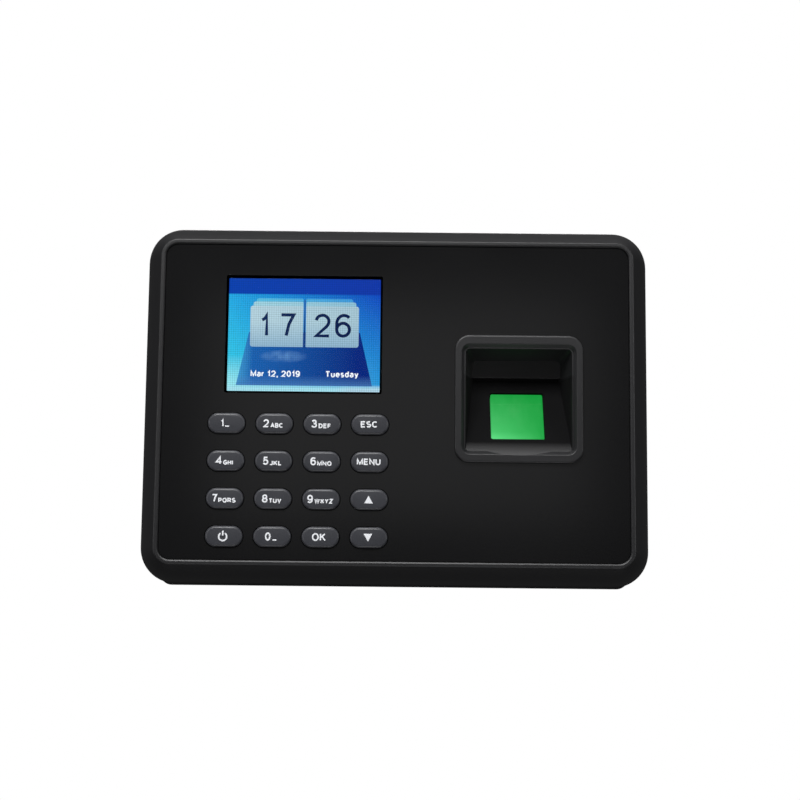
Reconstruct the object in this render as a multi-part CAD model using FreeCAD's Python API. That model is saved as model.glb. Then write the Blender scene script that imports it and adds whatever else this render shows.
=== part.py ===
"""Fingerprint terminal for a wall: a low box with a screen, sixteen keys and a finger well.

Millimetres. X runs to the right as one faces the terminal, Y into the wall, Z up.
The origin is on the wall, at the centre of the wall plate's four screw holes, so the
whole terminal has negative Y and its front is at about y = -35.
Each function below makes one piece, and the last lines write one STEP file per piece.
"""

import FreeCAD, Part
import math
import os

V = FreeCAD.Vector

# ---- driving dimensions -------------------------------------------------------------
WIDTH, HEIGHT = 165.0, 117.0        # outline of the front shell at its rear edge
CORNER_R = 11.5                     # radius of that outline's corners
CREST_Y = -34.0                     # crest of the thin lip round the front panel
PARTING_Y = -21.0                   # rear edge of the front shell
BEVEL = 6.2                         # how far the sloping sides lean out from the crest
WALL = 2.0                          # wall of both case halves
LIP_WIDTH = 1.3                     # from the crest in to the panel's edge
PANEL_SINK, PANEL_THICK = 0.6, 1.2  # the acrylic panel lies this far under the crest
PANEL_GAP = 0.2                     # slit between the panel and the lip

CREST_X = WIDTH / 2 - BEVEL         # half the width and height of the crest's outline
CREST_Z = HEIGHT / 2 - BEVEL
CREST_R = CORNER_R - BEVEL
PANEL_Y = CREST_Y + PANEL_SINK      # front face of the panel
SEAT_Y = PANEL_Y + PANEL_THICK      # the shell's face that the panel is glued to
FLOOR_Y = SEAT_Y + WALL             # inner face of the shell's front

# Rear case: a box narrower than the front shell, a little lower at the bottom.
REAR_X = 76.0
REAR_Z = (-59.0, 53.0)
REAR_R = 4.0
REAR_Y = -0.8                       # its back face, just clear of the wall
RING_Y = (-23.0, -20.9)             # flange that closes the front shell
RING_OUT = 3.1                      # the flange's outline, out from the crest
POCKET_X = 51.0                     # pocket for the wall plate, in the back
POCKET_Z = (-44.0, 37.5)
POCKET_Y = -2.0

# Wall plate: sheet steel with four hooks that the rear case hangs on.
PLATE_T = 1.2
PLATE_X, PLATE_Z = 50.0, 36.0
HOLE_PITCH, HOLE_R = 60.0, 2.25
HOOK_X, HOOK_ZS = 38.0, (-20.0, 24.0)   # under side of each hook's arm
HOOK_WIDTH, HOOK_RISE, LIFT = 8.0, 5.0, 6.5

# Screen: a 2.4 inch module, its lit area, and the clear window over it.
SCREEN_X, SCREEN_Z = -29.9, 21.6
LIT_W, LIT_H = 48.96, 36.72
WINDOW_W, WINDOW_H = 50.6, 38.4
MODULE_W, MODULE_H = 60.26, 42.72
MODULE_X = -32.3                        # the module is longer on its ribbon's side
CELL_Y, BACKLIGHT_Y, HOLDER_Y = SEAT_Y + 0.5, SEAT_Y + 1.9, SEAT_Y + 3.1

# Keypad: four columns and four rows of pill-shaped keys.
KEY_X0, KEY_Z0 = -54.1, -7.5            # centre of the top left key
KEY_PITCH_X, KEY_PITCH_Z = 15.3, 12.0
KEY_W, KEY_H, KEY_PROUD = 12.0, 6.6, 1.3
KEY_GAP, KEY_TRAVEL = 0.25, 1.0
KEY_CROWN_R, KEY_EDGE_R = 32.0, 0.9     # the ball that crowns a key's face, and its rounded edge
FLANGE_OUT, FLANGE_T = 0.8, 1.0
KEY_NAMES = (("key_1", "key_2", "key_3", "key_escape"),
             ("key_4", "key_5", "key_6", "key_menu"),
             ("key_7", "key_8", "key_9", "key_up"),
             ("key_power", "key_0", "key_ok", "key_down"))

BOARD_T = 1.6
KEY_BOARD_Y = FLOOR_Y + 3.8             # front face of the keypad board
KEY_BOARD_X, KEY_BOARD_Z = (-69.0, 6.5), (-49.5, 48.5)
KEY_BOARD_SCREWS = [(x, z) for x in (-66.0, 3.0) for z in (-35.0, -2.0, 35.0)]
MAIN_BOARD_Y = -19.0                    # front face of the main board
MAIN_BOARD_X, MAIN_BOARD_Z = (-63.0, 12.0), (-56.0, 13.0)
MAIN_BOARD_SCREWS = [(-59.5, 9.0), (8.0, 9.0), (-59.5, -35.0), (8.0, -50.0)]
CASE_SCREWS = [(x, z) for x in (-68.0, 68.0) for z in (-44.0, 44.0)]
CASE_SEAT_Y = -18.0                     # under the case screws' heads

# Finger well: a frame round a tapering well, whose floor is a ramp with the glass in it.
WELL_X, WELL_Z = 39.4, 1.25             # centre of the frame
FRAME_SIZE, FRAME_R = 41.1, 4.7
FRAME_Y = PANEL_Y - 1.4                 # front of the frame
WELL_HOLE, WELL_HOLE_R = 38.3, 3.4      # in the panel and the shell
WELL_BODY = 37.5                        # the part of the moulding behind the frame
MOUTH_X = 17.4                          # half the width of the well's mouth
MOUTH_Z, MOUTH_R = (-15.6, 17.8), 1.8
MOUTH_BEVEL, MOUTH_BEVEL_DEEP, RIDGE_R = 1.15, 1.3, 0.35
LEDGE_Y, LEDGE_X, LEDGE_Z = -22.4, 14.55, (9.5, 15.2)   # the upright wall at the top end
RAMP_ANGLE = 27.3                       # of the ramp, from upright
RAMP_Y = -33.3                          # where the ramp starts, at the mouth's lower edge
GLASS_W, GLASS_H, GLASS_Z = 17.0, 17.4, -3.45
RAMP_WALL = 2.0
SENSOR_SCREW_X = 14.8                   # from the well's middle

# Sockets in the bottom, on the main board's rear face.
USB_X, JACK_X = -40.0, -58.0
USB_W, USB_D, USB_L, USB_SHEET = 13.1, 5.7, 14.0, 0.3
JACK_W, JACK_D, JACK_L, JACK_BORE_R, JACK_PIN_R = 9.0, 11.0, 14.0, 3.0, 1.0
MOUTHS_Z = REAR_Z[0] + 0.2

SPEAKER_X, SPEAKER_Z, SPEAKER_R = 63.5, -27.0, 10.0
FEET = [(x, z) for x in (-56.0, 56.0) for z in (-51.0, 46.0)]
FOOT_R, FOOT_T = 4.5, 1.1


# ---- helpers ------------------------------------------------------------------------
def block(x, y, z):
    """A box between pairs of coordinates."""
    return Part.makeBox(x[1] - x[0], y[1] - y[0], z[1] - z[0], V(x[0], y[0], z[0]))


def about(centre, size):
    """The pair of coordinates that a size spans round its centre."""
    return centre - size / 2, centre + size / 2


def rod(x, z, r, y):
    """A cylinder along Y between two values of y."""
    return Part.makeCylinder(r, y[1] - y[0], V(x, y[0], z), V(0, 1, 0))


def post(x, y, r, z):
    """A cylinder along Z between two values of z."""
    return Part.makeCylinder(r, z[1] - z[0], V(x, y, z[0]), V(0, 0, 1))


def rounded_outline(x, z, w, h, r, y):
    """The outline of a rounded rectangle, centred at x and z, at one value of y."""
    edges = []
    ax, az = w / 2 - r, h / 2 - r
    for quarter, (sx, sz) in enumerate(((1, 1), (-1, 1), (-1, -1), (1, -1))):
        centre = V(x + sx * ax, y, z + sz * az)
        start = quarter * math.pi / 2
        on_arc = [centre + V(r * math.cos(a), 0, r * math.sin(a))
                  for a in (start, start + math.pi / 4, start + math.pi / 2)]
        if edges and (on_arc[0] - last).Length > 1e-6:
            edges.append(Part.makeLine(last, on_arc[0]))
        edges.append(Part.Arc(*on_arc).toShape())
        last = on_arc[2]
    first = edges[0].Vertexes[0].Point
    if (first - last).Length > 1e-6:
        edges.append(Part.makeLine(last, first))
    return Part.Wire(edges)


def rounded(x, z, w, h, r, y):
    """A rounded rectangle between two values of y. r = h / 2 makes a pill."""
    return Part.Face(rounded_outline(x, z, w, h, r, y[0])).extrude(V(0, y[1] - y[0], 0))


def side_prism(points, x):
    """A polygon of (y, z) points, seen from the side, extruded between two values of x."""
    corners = [V(x[0], y, z) for y, z in points]
    return Part.Face(Part.makePolygon(corners + corners[:1])).extrude(V(x[1] - x[0], 0, 0))


def plan_prism(points, z):
    """A polygon of (x, y) points, seen from above, extruded between two values of z."""
    corners = [V(x, y, z[0]) for x, y in points]
    return Part.Face(Part.makePolygon(corners + corners[:1])).extrude(V(0, 0, z[1] - z[0]))


def fuse(shapes):
    """Several solids joined into one, with the seams between flush faces removed."""
    shapes = list(shapes)
    return shapes[0].multiFuse(shapes[1:]).removeSplitter()


def group(shapes):
    """Several separate solids kept in one node."""
    return Part.makeCompound([solid for shape in shapes for solid in shape.Solids])


def edges_at(shape, y):
    """The edges of a shape that lie wholly in one plane across Y."""
    return [e for e in shape.Edges
            if abs(e.BoundBox.YMin - y) < 1e-4 and abs(e.BoundBox.YMax - y) < 1e-4]


def swept_dish(section, low, high):
    """A solid whose edge section runs round the crest's outline.

    section is a list of edges in the plane z = 0 that closes on the corner's axis, at
    x = CREST_X - CREST_R, and low and high are the core's two values of y.
    """
    core_x, core_z = CREST_X - CREST_R, CREST_Z - CREST_R
    face = Part.Face(Part.Wire(section))
    right = face.extrude(V(0, 0, 2 * core_z))
    right.translate(V(0, 0, -core_z))
    at_corner = face.copy()
    at_corner.translate(V(0, 0, core_z))
    corner = at_corner.revolve(V(core_x, 0, core_z), V(0, -1, 0), 90)
    top = face.copy()
    top.rotate(V(0, 0, 0), V(0, -1, 0), 90)
    top.translate(V(-core_x, 0, CREST_Z - CREST_X))
    top = top.extrude(V(2 * core_x, 0, 0))
    halves = [right, corner, top, corner.mirror(V(0, 0, 0), V(0, 0, 1)), top.mirror(V(0, 0, 0), V(0, 0, 1))]
    others = [s.mirror(V(0, 0, 0), V(1, 0, 0)) for s in (halves[0], halves[1], halves[3])]
    core = block((-core_x, core_x), (low, high), (-core_z, core_z))
    return fuse([core] + halves + others)


def section_edges(points, bulge):
    """A closed section through (u, y) points, u out from the crest; a bulge curves its last side.

    The last side joins the last two points, leans out and is an arc that stands bulge
    millimetres proud of the straight line between them.
    """
    corners = [V(CREST_X + u, y, 0) for u, y in points]
    edges = [Part.makeLine(a, b) for a, b in zip(corners[:-2], corners[1:-1])]
    start, end = corners[-2], corners[-1]
    along = (end - start).normalize()
    middle = (start + end) * 0.5 + V(along.y, -along.x, 0) * bulge
    edges.append(Part.Arc(start, middle, end).toShape())
    edges.append(Part.makeLine(end, corners[0]))
    return edges


def key_centres():
    """Yields each key's name and its centre, row by row."""
    for row, names in enumerate(KEY_NAMES):
        for column, name in enumerate(names):
            yield name, KEY_X0 + column * KEY_PITCH_X, KEY_Z0 - row * KEY_PITCH_Z


def screw(x, z, head_y, shank_r, length, head_r, head_t):
    """A cross-head screw driven towards -Y, with its head's seat at head_y."""
    head = rod(x, z, head_r, (head_y, head_y + head_t))
    head = head.makeFillet(head_t * 0.4, edges_at(head, head_y + head_t))
    shank = rod(x, z, shank_r, (head_y - length, head_y))
    slot, depth = head_r * 0.28, head_t * 0.6
    cross = [block(about(x, head_r * 1.2), (head_y + head_t - depth, head_y + head_t), about(z, slot)),
             block(about(x, slot), (head_y + head_t - depth, head_y + head_t), about(z, head_r * 1.2))]
    return fuse([head, shank]).cut(fuse(cross))


def in_ramp_frame(shape):
    """Turns a piece made flat at the origin, facing -Y, into the ramp, at the glass's centre."""
    glass_y = RAMP_Y + (GLASS_Z - MOUTH_Z[0]) * math.tan(math.radians(RAMP_ANGLE))
    shape = shape.copy()
    shape.rotate(V(0, 0, 0), V(1, 0, 0), -RAMP_ANGLE)
    shape.translate(V(WELL_X, glass_y, GLASS_Z))
    return shape


def wire_tube(points, r):
    """A round lead: straight runs joined by the largest tangent arcs that they allow."""
    share = 0.45
    points = [V(*p) for p in points]
    edges, last = [], points[0]
    for before, here, after in zip(points, points[1:], points[2:]):
        into, out = (here - before), (after - here)
        back = share * min(into.Length, out.Length)
        into.normalize()
        out.normalize()
        start, end = here - into * back, here + out * back
        half = into.getAngle(out) / 2
        radius = back / math.tan(half)
        inward = (out - into).normalize()
        middle = here + inward * (radius / math.cos(half) - radius)
        if (start - last).Length > 1e-6:
            edges.append(Part.makeLine(last, start))
        edges.append(Part.Arc(start, middle, end).toShape())
        last = end
    edges.append(Part.makeLine(last, points[-1]))
    path = Part.Wire(edges)
    ring = Part.Wire(Part.makeCircle(r, points[0], points[1] - points[0]))
    tube = path.makePipeShell([ring], True, False)
    print("lead of", round(path.Length, 1), "mm, volume over section x length:",
          round(tube.Volume / (path.Length * math.pi * r * r), 4))
    return tube


# ---- front half of the case ---------------------------------------------------------
def front_shell():
    """The front moulding: sloping sides, a thin lip, and seats for all that the front holds."""
    axis = -CREST_R
    outer = swept_dish(section_edges([
        (axis, PARTING_Y), (axis, SEAT_Y), (-LIP_WIDTH, SEAT_Y), (-LIP_WIDTH, CREST_Y + 0.45),
        (-LIP_WIDTH + 0.15, CREST_Y + 0.14), (-LIP_WIDTH + 0.5, CREST_Y), (-0.1, CREST_Y),
        (0.15, CREST_Y + 0.1), (0.3, CREST_Y + 0.3), (BEVEL, PARTING_Y)], 0.9), SEAT_Y, PARTING_Y)
    hollow = swept_dish(section_edges([
        (axis, PARTING_Y), (axis, FLOOR_Y), (-0.6, FLOOR_Y), (BEVEL - WALL, PARTING_Y)], 0.5),
        FLOOR_Y, PARTING_Y)
    shell = outer.cut(hollow)
    bosses = [rod(x, z, 2.5, (FLOOR_Y - 0.5, KEY_BOARD_Y)) for x, z in KEY_BOARD_SCREWS]
    bosses += [rod(x, z, 4.0, (FLOOR_Y - 0.5, RING_Y[0] - 0.1)) for x, z in CASE_SCREWS]
    pilots = [rod(x, z, 0.9, (FLOOR_Y + 0.4, KEY_BOARD_Y)) for x, z in KEY_BOARD_SCREWS]
    pilots += [rod(x, z, 1.3, (FLOOR_Y + 0.4, RING_Y[0])) for x, z in CASE_SCREWS]
    through = (SEAT_Y - 1, FLOOR_Y + 0.2)
    holes = [rounded(x, z, KEY_W + 2 * KEY_GAP, KEY_H + 2 * KEY_GAP, KEY_H / 2 + KEY_GAP, through)
             for _, x, z in key_centres()]
    holes.append(rounded(MODULE_X, SCREEN_Z, MODULE_W + 0.6, MODULE_H + 0.6, 0.8, through))
    holes.append(rounded(WELL_X, WELL_Z, WELL_HOLE, WELL_HOLE, WELL_HOLE_R, through))
    return shell.fuse(bosses).cut(holes + pilots).removeSplitter()


def front_panel():
    """The black acrylic sheet glued into the front shell, open for window, keys and well."""
    inset = LIP_WIDTH + PANEL_GAP
    y = (PANEL_Y, SEAT_Y)
    sheet = rounded(0, 0, 2 * (CREST_X - inset), 2 * (CREST_Z - inset), CREST_R - inset, y)
    through = (PANEL_Y - 1, SEAT_Y + 1)
    holes = [rounded(x, z, KEY_W + 2 * KEY_GAP, KEY_H + 2 * KEY_GAP, KEY_H / 2 + KEY_GAP, through)
             for _, x, z in key_centres()]
    holes.append(rounded(SCREEN_X, SCREEN_Z, WINDOW_W, WINDOW_H, 0.6, through))
    holes.append(rounded(WELL_X, WELL_Z, WELL_HOLE, WELL_HOLE, WELL_HOLE_R, through))
    return sheet.cut(holes)


# ---- screen ---------------------------------------------------------------------------
def display_window():
    """The clear lens that lies flush in the panel, over the screen."""
    gap = 0.05
    return rounded(SCREEN_X, SCREEN_Z, WINDOW_W - 2 * gap, WINDOW_H - 2 * gap, 0.55, (PANEL_Y, SEAT_Y))


def display_gasket():
    """The black foam frame that keeps dust off the screen and hides its border."""
    y = (SEAT_Y, CELL_Y)
    frame = rounded(MODULE_X, SCREEN_Z, MODULE_W, MODULE_H, 0.6, y)
    return frame.cut(rounded(SCREEN_X, SCREEN_Z, LIT_W + 0.2, LIT_H + 0.2, 0.3, (y[0] - 1, y[1] + 1)))


def display_cell():
    """The liquid crystal cell, two glasses and the polarisers."""
    return rounded(MODULE_X, SCREEN_Z, MODULE_W, MODULE_H, 0.4, (CELL_Y, BACKLIGHT_Y))


def display_backlight():
    """The backlight in its steel tray, behind the cell."""
    tray = rounded(MODULE_X, SCREEN_Z, MODULE_W, MODULE_H, 0.8, (BACKLIGHT_Y, HOLDER_Y))
    return tray.makeFillet(0.3, edges_at(tray, HOLDER_Y))


def display_holder():
    """The moulded frame that holds the screen off the keypad board, notched for the ribbon."""
    y = (HOLDER_Y, KEY_BOARD_Y)
    frame = rounded(MODULE_X, SCREEN_Z, MODULE_W + 2.0, MODULE_H + 2.0, 1.5, y)
    middle = rounded(MODULE_X, SCREEN_Z, MODULE_W - 8.0, MODULE_H - 8.0, 1.0, (y[0] - 1, y[1] + 1))
    left = MODULE_X - MODULE_W / 2
    notch = block((left - 3.0, left + 8.0), (y[0] - 1, y[1] + 1), about(SCREEN_Z, 22.0))
    return frame.cut([middle, notch])


def display_flex():
    """The screen's ribbon: out of the backlight, round in a half turn and into its connector."""
    thick, width, bend = 0.15, 20.0, 1.1
    left = MODULE_X - MODULE_W / 2
    turn_x = left - 1.2
    middle_y = HOLDER_Y + 0.1 + bend
    outer, inner = bend + thick / 2, bend - thick / 2
    ends = (left + 4.0, left + 6.0)
    z0 = SCREEN_Z - width / 2

    def half_turn(r):
        return Part.Arc(V(turn_x, middle_y - r, z0), V(turn_x - r, middle_y, z0),
                        V(turn_x, middle_y + r, z0)).toShape()

    def straight(side, end_x):
        corners = [V(turn_x, middle_y + side * outer, z0), V(end_x, middle_y + side * outer, z0),
                   V(end_x, middle_y + side * inner, z0), V(turn_x, middle_y + side * inner, z0)]
        return [Part.makeLine(a, b) for a, b in zip(corners, corners[1:])]

    edges = straight(1, ends[1]) + straight(-1, ends[0]) + [half_turn(outer), half_turn(inner)]
    return Part.Face(Part.Wire(Part.__sortEdges__(edges))).extrude(V(0, 0, width))


# ---- keypad -----------------------------------------------------------------------------
def key():
    """One key, made at the origin: a crowned pill, a flange that keeps it in, and its plunger."""
    top, base = PANEL_Y - KEY_PROUD, FLOOR_Y + 0.1
    cap = rounded(0, 0, KEY_W, KEY_H, KEY_H / 2, (top, base))
    cap = cap.common(Part.makeSphere(KEY_CROWN_R, V(0, top + KEY_CROWN_R, 0))).Solids[0]
    cap = cap.makeFillet(KEY_EDGE_R, [e for e in cap.Edges if e.BoundBox.YMax < PANEL_Y - 0.05])
    flange = rounded(0, 0, KEY_W + 2 * FLANGE_OUT, KEY_H + 2 * FLANGE_OUT, KEY_H / 2 + FLANGE_OUT,
                     (base, base + FLANGE_T))
    stem = rounded(0, 0, 6.0, 3.4, 1.7, (base, KEY_BOARD_Y - KEY_TRAVEL - 0.1))
    return fuse([cap, flange, stem])


def keypad_mat():
    """The silicone sheet on the keypad board, open under each key's plunger."""
    y = (KEY_BOARD_Y - 1.2, KEY_BOARD_Y)
    middle_x = KEY_X0 + 1.5 * KEY_PITCH_X
    middle_z = KEY_Z0 - 1.5 * KEY_PITCH_Z
    sheet = rounded(middle_x, middle_z, 4 * KEY_PITCH_X + 1.6, 4 * KEY_PITCH_Z - 1.0, 2.0, y)
    holes = [rounded(x, z, 9.0, 5.4, 2.7, (y[0] - 1, y[1] + 1)) for _, x, z in key_centres()]
    return sheet.cut(holes)


def keypad_board():
    """The circuit board behind the screen and the keys, notched round the case's bosses."""
    y = (KEY_BOARD_Y, KEY_BOARD_Y + BOARD_T)
    board = block(KEY_BOARD_X, y, KEY_BOARD_Z)
    holes = [rod(x, z, 1.3, (y[0] - 1, y[1] + 1)) for x, z in KEY_BOARD_SCREWS]
    notches = [rod(x, z, 4.8, (y[0] - 1, y[1] + 1)) for x, z in CASE_SCREWS]
    return board.cut(holes + notches)


def keypad_board_screws():
    """Six small screws that hold the keypad board to the front shell."""
    return group(screw(x, z, KEY_BOARD_Y + BOARD_T, 0.85, 4.6, 2.2, 1.2) for x, z in KEY_BOARD_SCREWS)


def ribbon_connector():
    """The flat connector on the keypad board that takes the screen's ribbon."""
    left = MODULE_X - MODULE_W / 2
    body = block((left + 6.0, left + 10.0), (KEY_BOARD_Y - 1.3, KEY_BOARD_Y), about(SCREEN_Z, 23.0))
    return body


def board_link():
    """The pin header that joins the two boards."""
    rear = KEY_BOARD_Y + BOARD_T
    body = block((-30.0, -4.0), (rear, MAIN_BOARD_Y), (5.4, 10.4))
    slot = block((-28.5, -5.5), (rear + 1.0, rear + 2.0), (5.4, 10.4))
    return body.cut(slot)


# ---- finger well ------------------------------------------------------------------------
def well_hollow():
    """The space of the finger well: mouth, tapering sides, ceiling, ledge and ramp."""
    slope = math.tan(math.radians(RAMP_ANGLE))
    front = FRAME_Y - 1.0
    ceiling = (MOUTH_Z[1] - LEDGE_Z[1]) / (LEDGE_Y - FRAME_Y)
    ramp_top_y = RAMP_Y + (LEDGE_Z[0] - MOUTH_Z[0]) * slope
    side = side_prism([(front, MOUTH_Z[1] + ceiling * 1.0), (LEDGE_Y, LEDGE_Z[1]), (LEDGE_Y, LEDGE_Z[0]),
                       (ramp_top_y, LEDGE_Z[0]), (RAMP_Y, MOUTH_Z[0]), (front, MOUTH_Z[0] - 0.6)],
                      about(WELL_X, 2 * MOUTH_X + 4))
    taper = (MOUTH_X - LEDGE_X) / (LEDGE_Y - FRAME_Y)
    deep = ramp_top_y + 1.0
    narrow = MOUTH_X - taper * (deep - FRAME_Y)
    wide = MOUTH_X + taper * 1.0
    plan = plan_prism([(WELL_X - wide, front), (WELL_X + wide, front), (WELL_X + narrow, deep),
                       (WELL_X - narrow, deep)], (MOUTH_Z[0] - 3, MOUTH_Z[1] + 3))
    hollow = side.common(plan)
    corners = [e for e in hollow.Edges
               if e.BoundBox.YLength > 8 and e.BoundBox.ZLength < 4 and e.BoundBox.ZMin > LEDGE_Z[1] - 1]
    hollow = hollow.makeFillet(1.6, corners)
    return hollow.common(Part.Face(mouth_outline(0.0, FRAME_Y)).extrude(V(0, 30, 0)))


def mouth_outline(margin, y):
    """The well's mouth seen from the front, widened by a margin, at one value of y."""
    return rounded_outline(WELL_X, sum(MOUTH_Z) / 2, 2 * (MOUTH_X + margin),
                           MOUTH_Z[1] - MOUTH_Z[0] + 2 * margin, MOUTH_R + margin, y)


def well_frame():
    """The frame on the panel: a flat band, then a bevel that leads into the well."""
    frame = rounded(WELL_X, WELL_Z, FRAME_SIZE, FRAME_SIZE, FRAME_R, (FRAME_Y, PANEL_Y))
    frame = frame.makeFillet(0.6, edges_at(frame, FRAME_Y))
    bevel = Part.makeLoft([mouth_outline(MOUTH_BEVEL, FRAME_Y),
                           mouth_outline(0.0, FRAME_Y + MOUTH_BEVEL_DEEP)], True)
    mouth = Part.Face(mouth_outline(0.0, FRAME_Y)).extrude(V(0, PANEL_Y + 1 - FRAME_Y, 0))
    frame = frame.cut([bevel, mouth])
    reach = MOUTH_X + MOUTH_BEVEL + 0.01
    ridge = [e for e in edges_at(frame, FRAME_Y)
             if e.BoundBox.XMin > WELL_X - reach and e.BoundBox.XMax < WELL_X + reach]
    return frame.makeFillet(RIDGE_R, ridge)


def finger_scoop():
    """The curved dip at the ramp's foot, which guides the finger over the well's lower edge."""
    foot, dip, half_width = MOUTH_Z[0], 1.35, 10.0
    radius = (half_width ** 2 + dip ** 2) / (2 * dip)
    slope = math.tan(math.radians(RAMP_ANGLE))
    front, low = FRAME_Y - 1.0, foot - dip - 1.0
    above_ramp = side_prism([(front, foot + 1), (RAMP_Y + slope, foot + 1),
                             (RAMP_Y + (low - foot) * slope, low), (front, low)], about(WELL_X, 4 * half_width))
    return above_ramp.common(rod(WELL_X, foot - dip + radius, radius, (front, -25.0)))


def sensor_bezel():
    """The frame, well and ramp, in one moulding that drops in from the front."""
    slope = math.tan(math.radians(RAMP_ANGLE))
    frame = well_frame()
    low, high = WELL_Z - WELL_BODY / 2 - 0.1, WELL_Z + WELL_BODY / 2 + 0.1
    back = RAMP_WALL / math.cos(math.radians(RAMP_ANGLE))
    end_z = LEDGE_Z[0] + 2.0

    def behind_ramp(z):
        return RAMP_Y + (z - MOUTH_Z[0]) * slope + back

    body = side_prism([(PANEL_Y - 0.2, low), (behind_ramp(low), low), (behind_ramp(end_z), end_z),
                       (LEDGE_Y + RAMP_WALL, end_z + 2.0), (LEDGE_Y + RAMP_WALL, LEDGE_Z[1] + RAMP_WALL),
                       (PANEL_Y - 0.2, high)], about(WELL_X, WELL_BODY))
    body = body.common(rounded(WELL_X, WELL_Z, WELL_BODY, WELL_BODY + 0.2, 3.2, (FRAME_Y, 0)))
    half = WELL_BODY / 2
    waist = plan_prism([(WELL_X - half, PANEL_Y - 0.2), (WELL_X + half, PANEL_Y - 0.2),
                        (WELL_X + LEDGE_X + 2.0, -17.0), (WELL_X - LEDGE_X - 2.0, -17.0)], (low, high))
    clip_y = (FLOOR_Y + 0.15, FLOOR_Y + 2.2)
    clips = [plan_prism([(WELL_X + s * (half - 1.2), clip_y[0]), (WELL_X + s * (half + 0.9), clip_y[0]),
                         (WELL_X + s * (half - 1.2), clip_y[1])], (WELL_Z - 4, WELL_Z + 4)) for s in (-1, 1)]
    bosses = [in_ramp_frame(rod(s * SENSOR_SCREW_X, 0, 2.2, (RAMP_WALL - 0.5, 6.0))) for s in (-1, 1)]
    pilots = [in_ramp_frame(rod(s * SENSOR_SCREW_X, 0, 0.8, (RAMP_WALL + 0.4, 6.5))) for s in (-1, 1)]
    window = in_ramp_frame(rounded(0, 0, GLASS_W + 0.6, GLASS_H + 0.6, 0.8, (-2.0, 3.5)))
    solid = fuse([frame, body.common(waist)] + clips + bosses)
    return solid.cut([well_hollow(), finger_scoop(), window] + pilots).removeSplitter()


def sensor_prism():
    """The glass block that the finger touches, tapering behind its face."""
    face = rounded(0, 0, GLASS_W, GLASS_H, 0.6, (0.3, 3.0))
    face = face.makeChamfer(0.2, edges_at(face, 0.3))
    half, back_half = GLASS_H / 2, GLASS_H / 2 - 4.0
    taper = side_prism([(2.9, -half), (2.9, half), (8.0, back_half), (8.0, -back_half)],
                       about(0, GLASS_W))
    return in_ramp_frame(fuse([face, taper]))


def sensor_gasket():
    """The rubber frame that seals the glass behind the ramp."""
    outer = rounded(0, 0, GLASS_W + 3.0, GLASS_H + 3.0, 1.0, (RAMP_WALL, RAMP_WALL + 0.6))
    return in_ramp_frame(outer.cut(rounded(0, 0, GLASS_W + 0.1, GLASS_H + 0.1, 0.5, (0, 4))))


def sensor_housing():
    """The light-tight box behind the glass, with two ears for its screws."""
    y = (RAMP_WALL + 0.6, 16.0)
    case = rounded(0, 0, 24.0, 24.0, 1.5, y)
    room = block((-10.5, 10.5), (y[0] + 1.0, y[1] + 1), (-10.5, 10.5))
    window = rounded(0, 0, GLASS_W + 0.1, GLASS_H + 0.1, 0.05, (y[0] - 1, y[0] + 2))
    ears = block((-17.2, 17.2), (6.0, 8.0), (-3.0, 3.0))
    holes = [rod(s * SENSOR_SCREW_X, 0, 1.15, (5, 9)) for s in (-1, 1)]
    return in_ramp_frame(fuse([case, ears]).cut([room, window] + holes))


def sensor_board():
    """The small board that closes the sensor's housing, with its plug at the back."""
    board = block((-12.0, 12.0), (16.0, 17.0), (-12.0, 12.0))
    plug = block((-5.0, 5.0), (17.0, 19.2), (-11.0, -7.0))
    return in_ramp_frame(fuse([board, plug]))


def sensor_leds():
    """Four green lamps on the sensor's board, round its camera."""
    return group(in_ramp_frame(block(about(sx * 7.5, 2.4), (14.6, 16.0), about(sz * 7.5, 2.4)))
                 for sx in (-1, 1) for sz in (-1, 1))


def sensor_camera():
    """The lens barrel and image chip that look at the glass."""
    chip = block((-4.5, 4.5), (14.8, 16.0), (-4.5, 4.5))
    barrel = rod(0, 0, 3.2, (10.5, 14.9))
    return in_ramp_frame(fuse([chip, barrel]).cut(rod(0, 0, 1.6, (10.0, 11.5))))


def sensor_screws():
    """Two screws through the housing's ears into the bezel."""
    return group(in_ramp_frame(screw(s * SENSOR_SCREW_X, 0, 8.0, 0.75, 5.0, 1.9, 1.1)) for s in (-1, 1))


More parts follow.
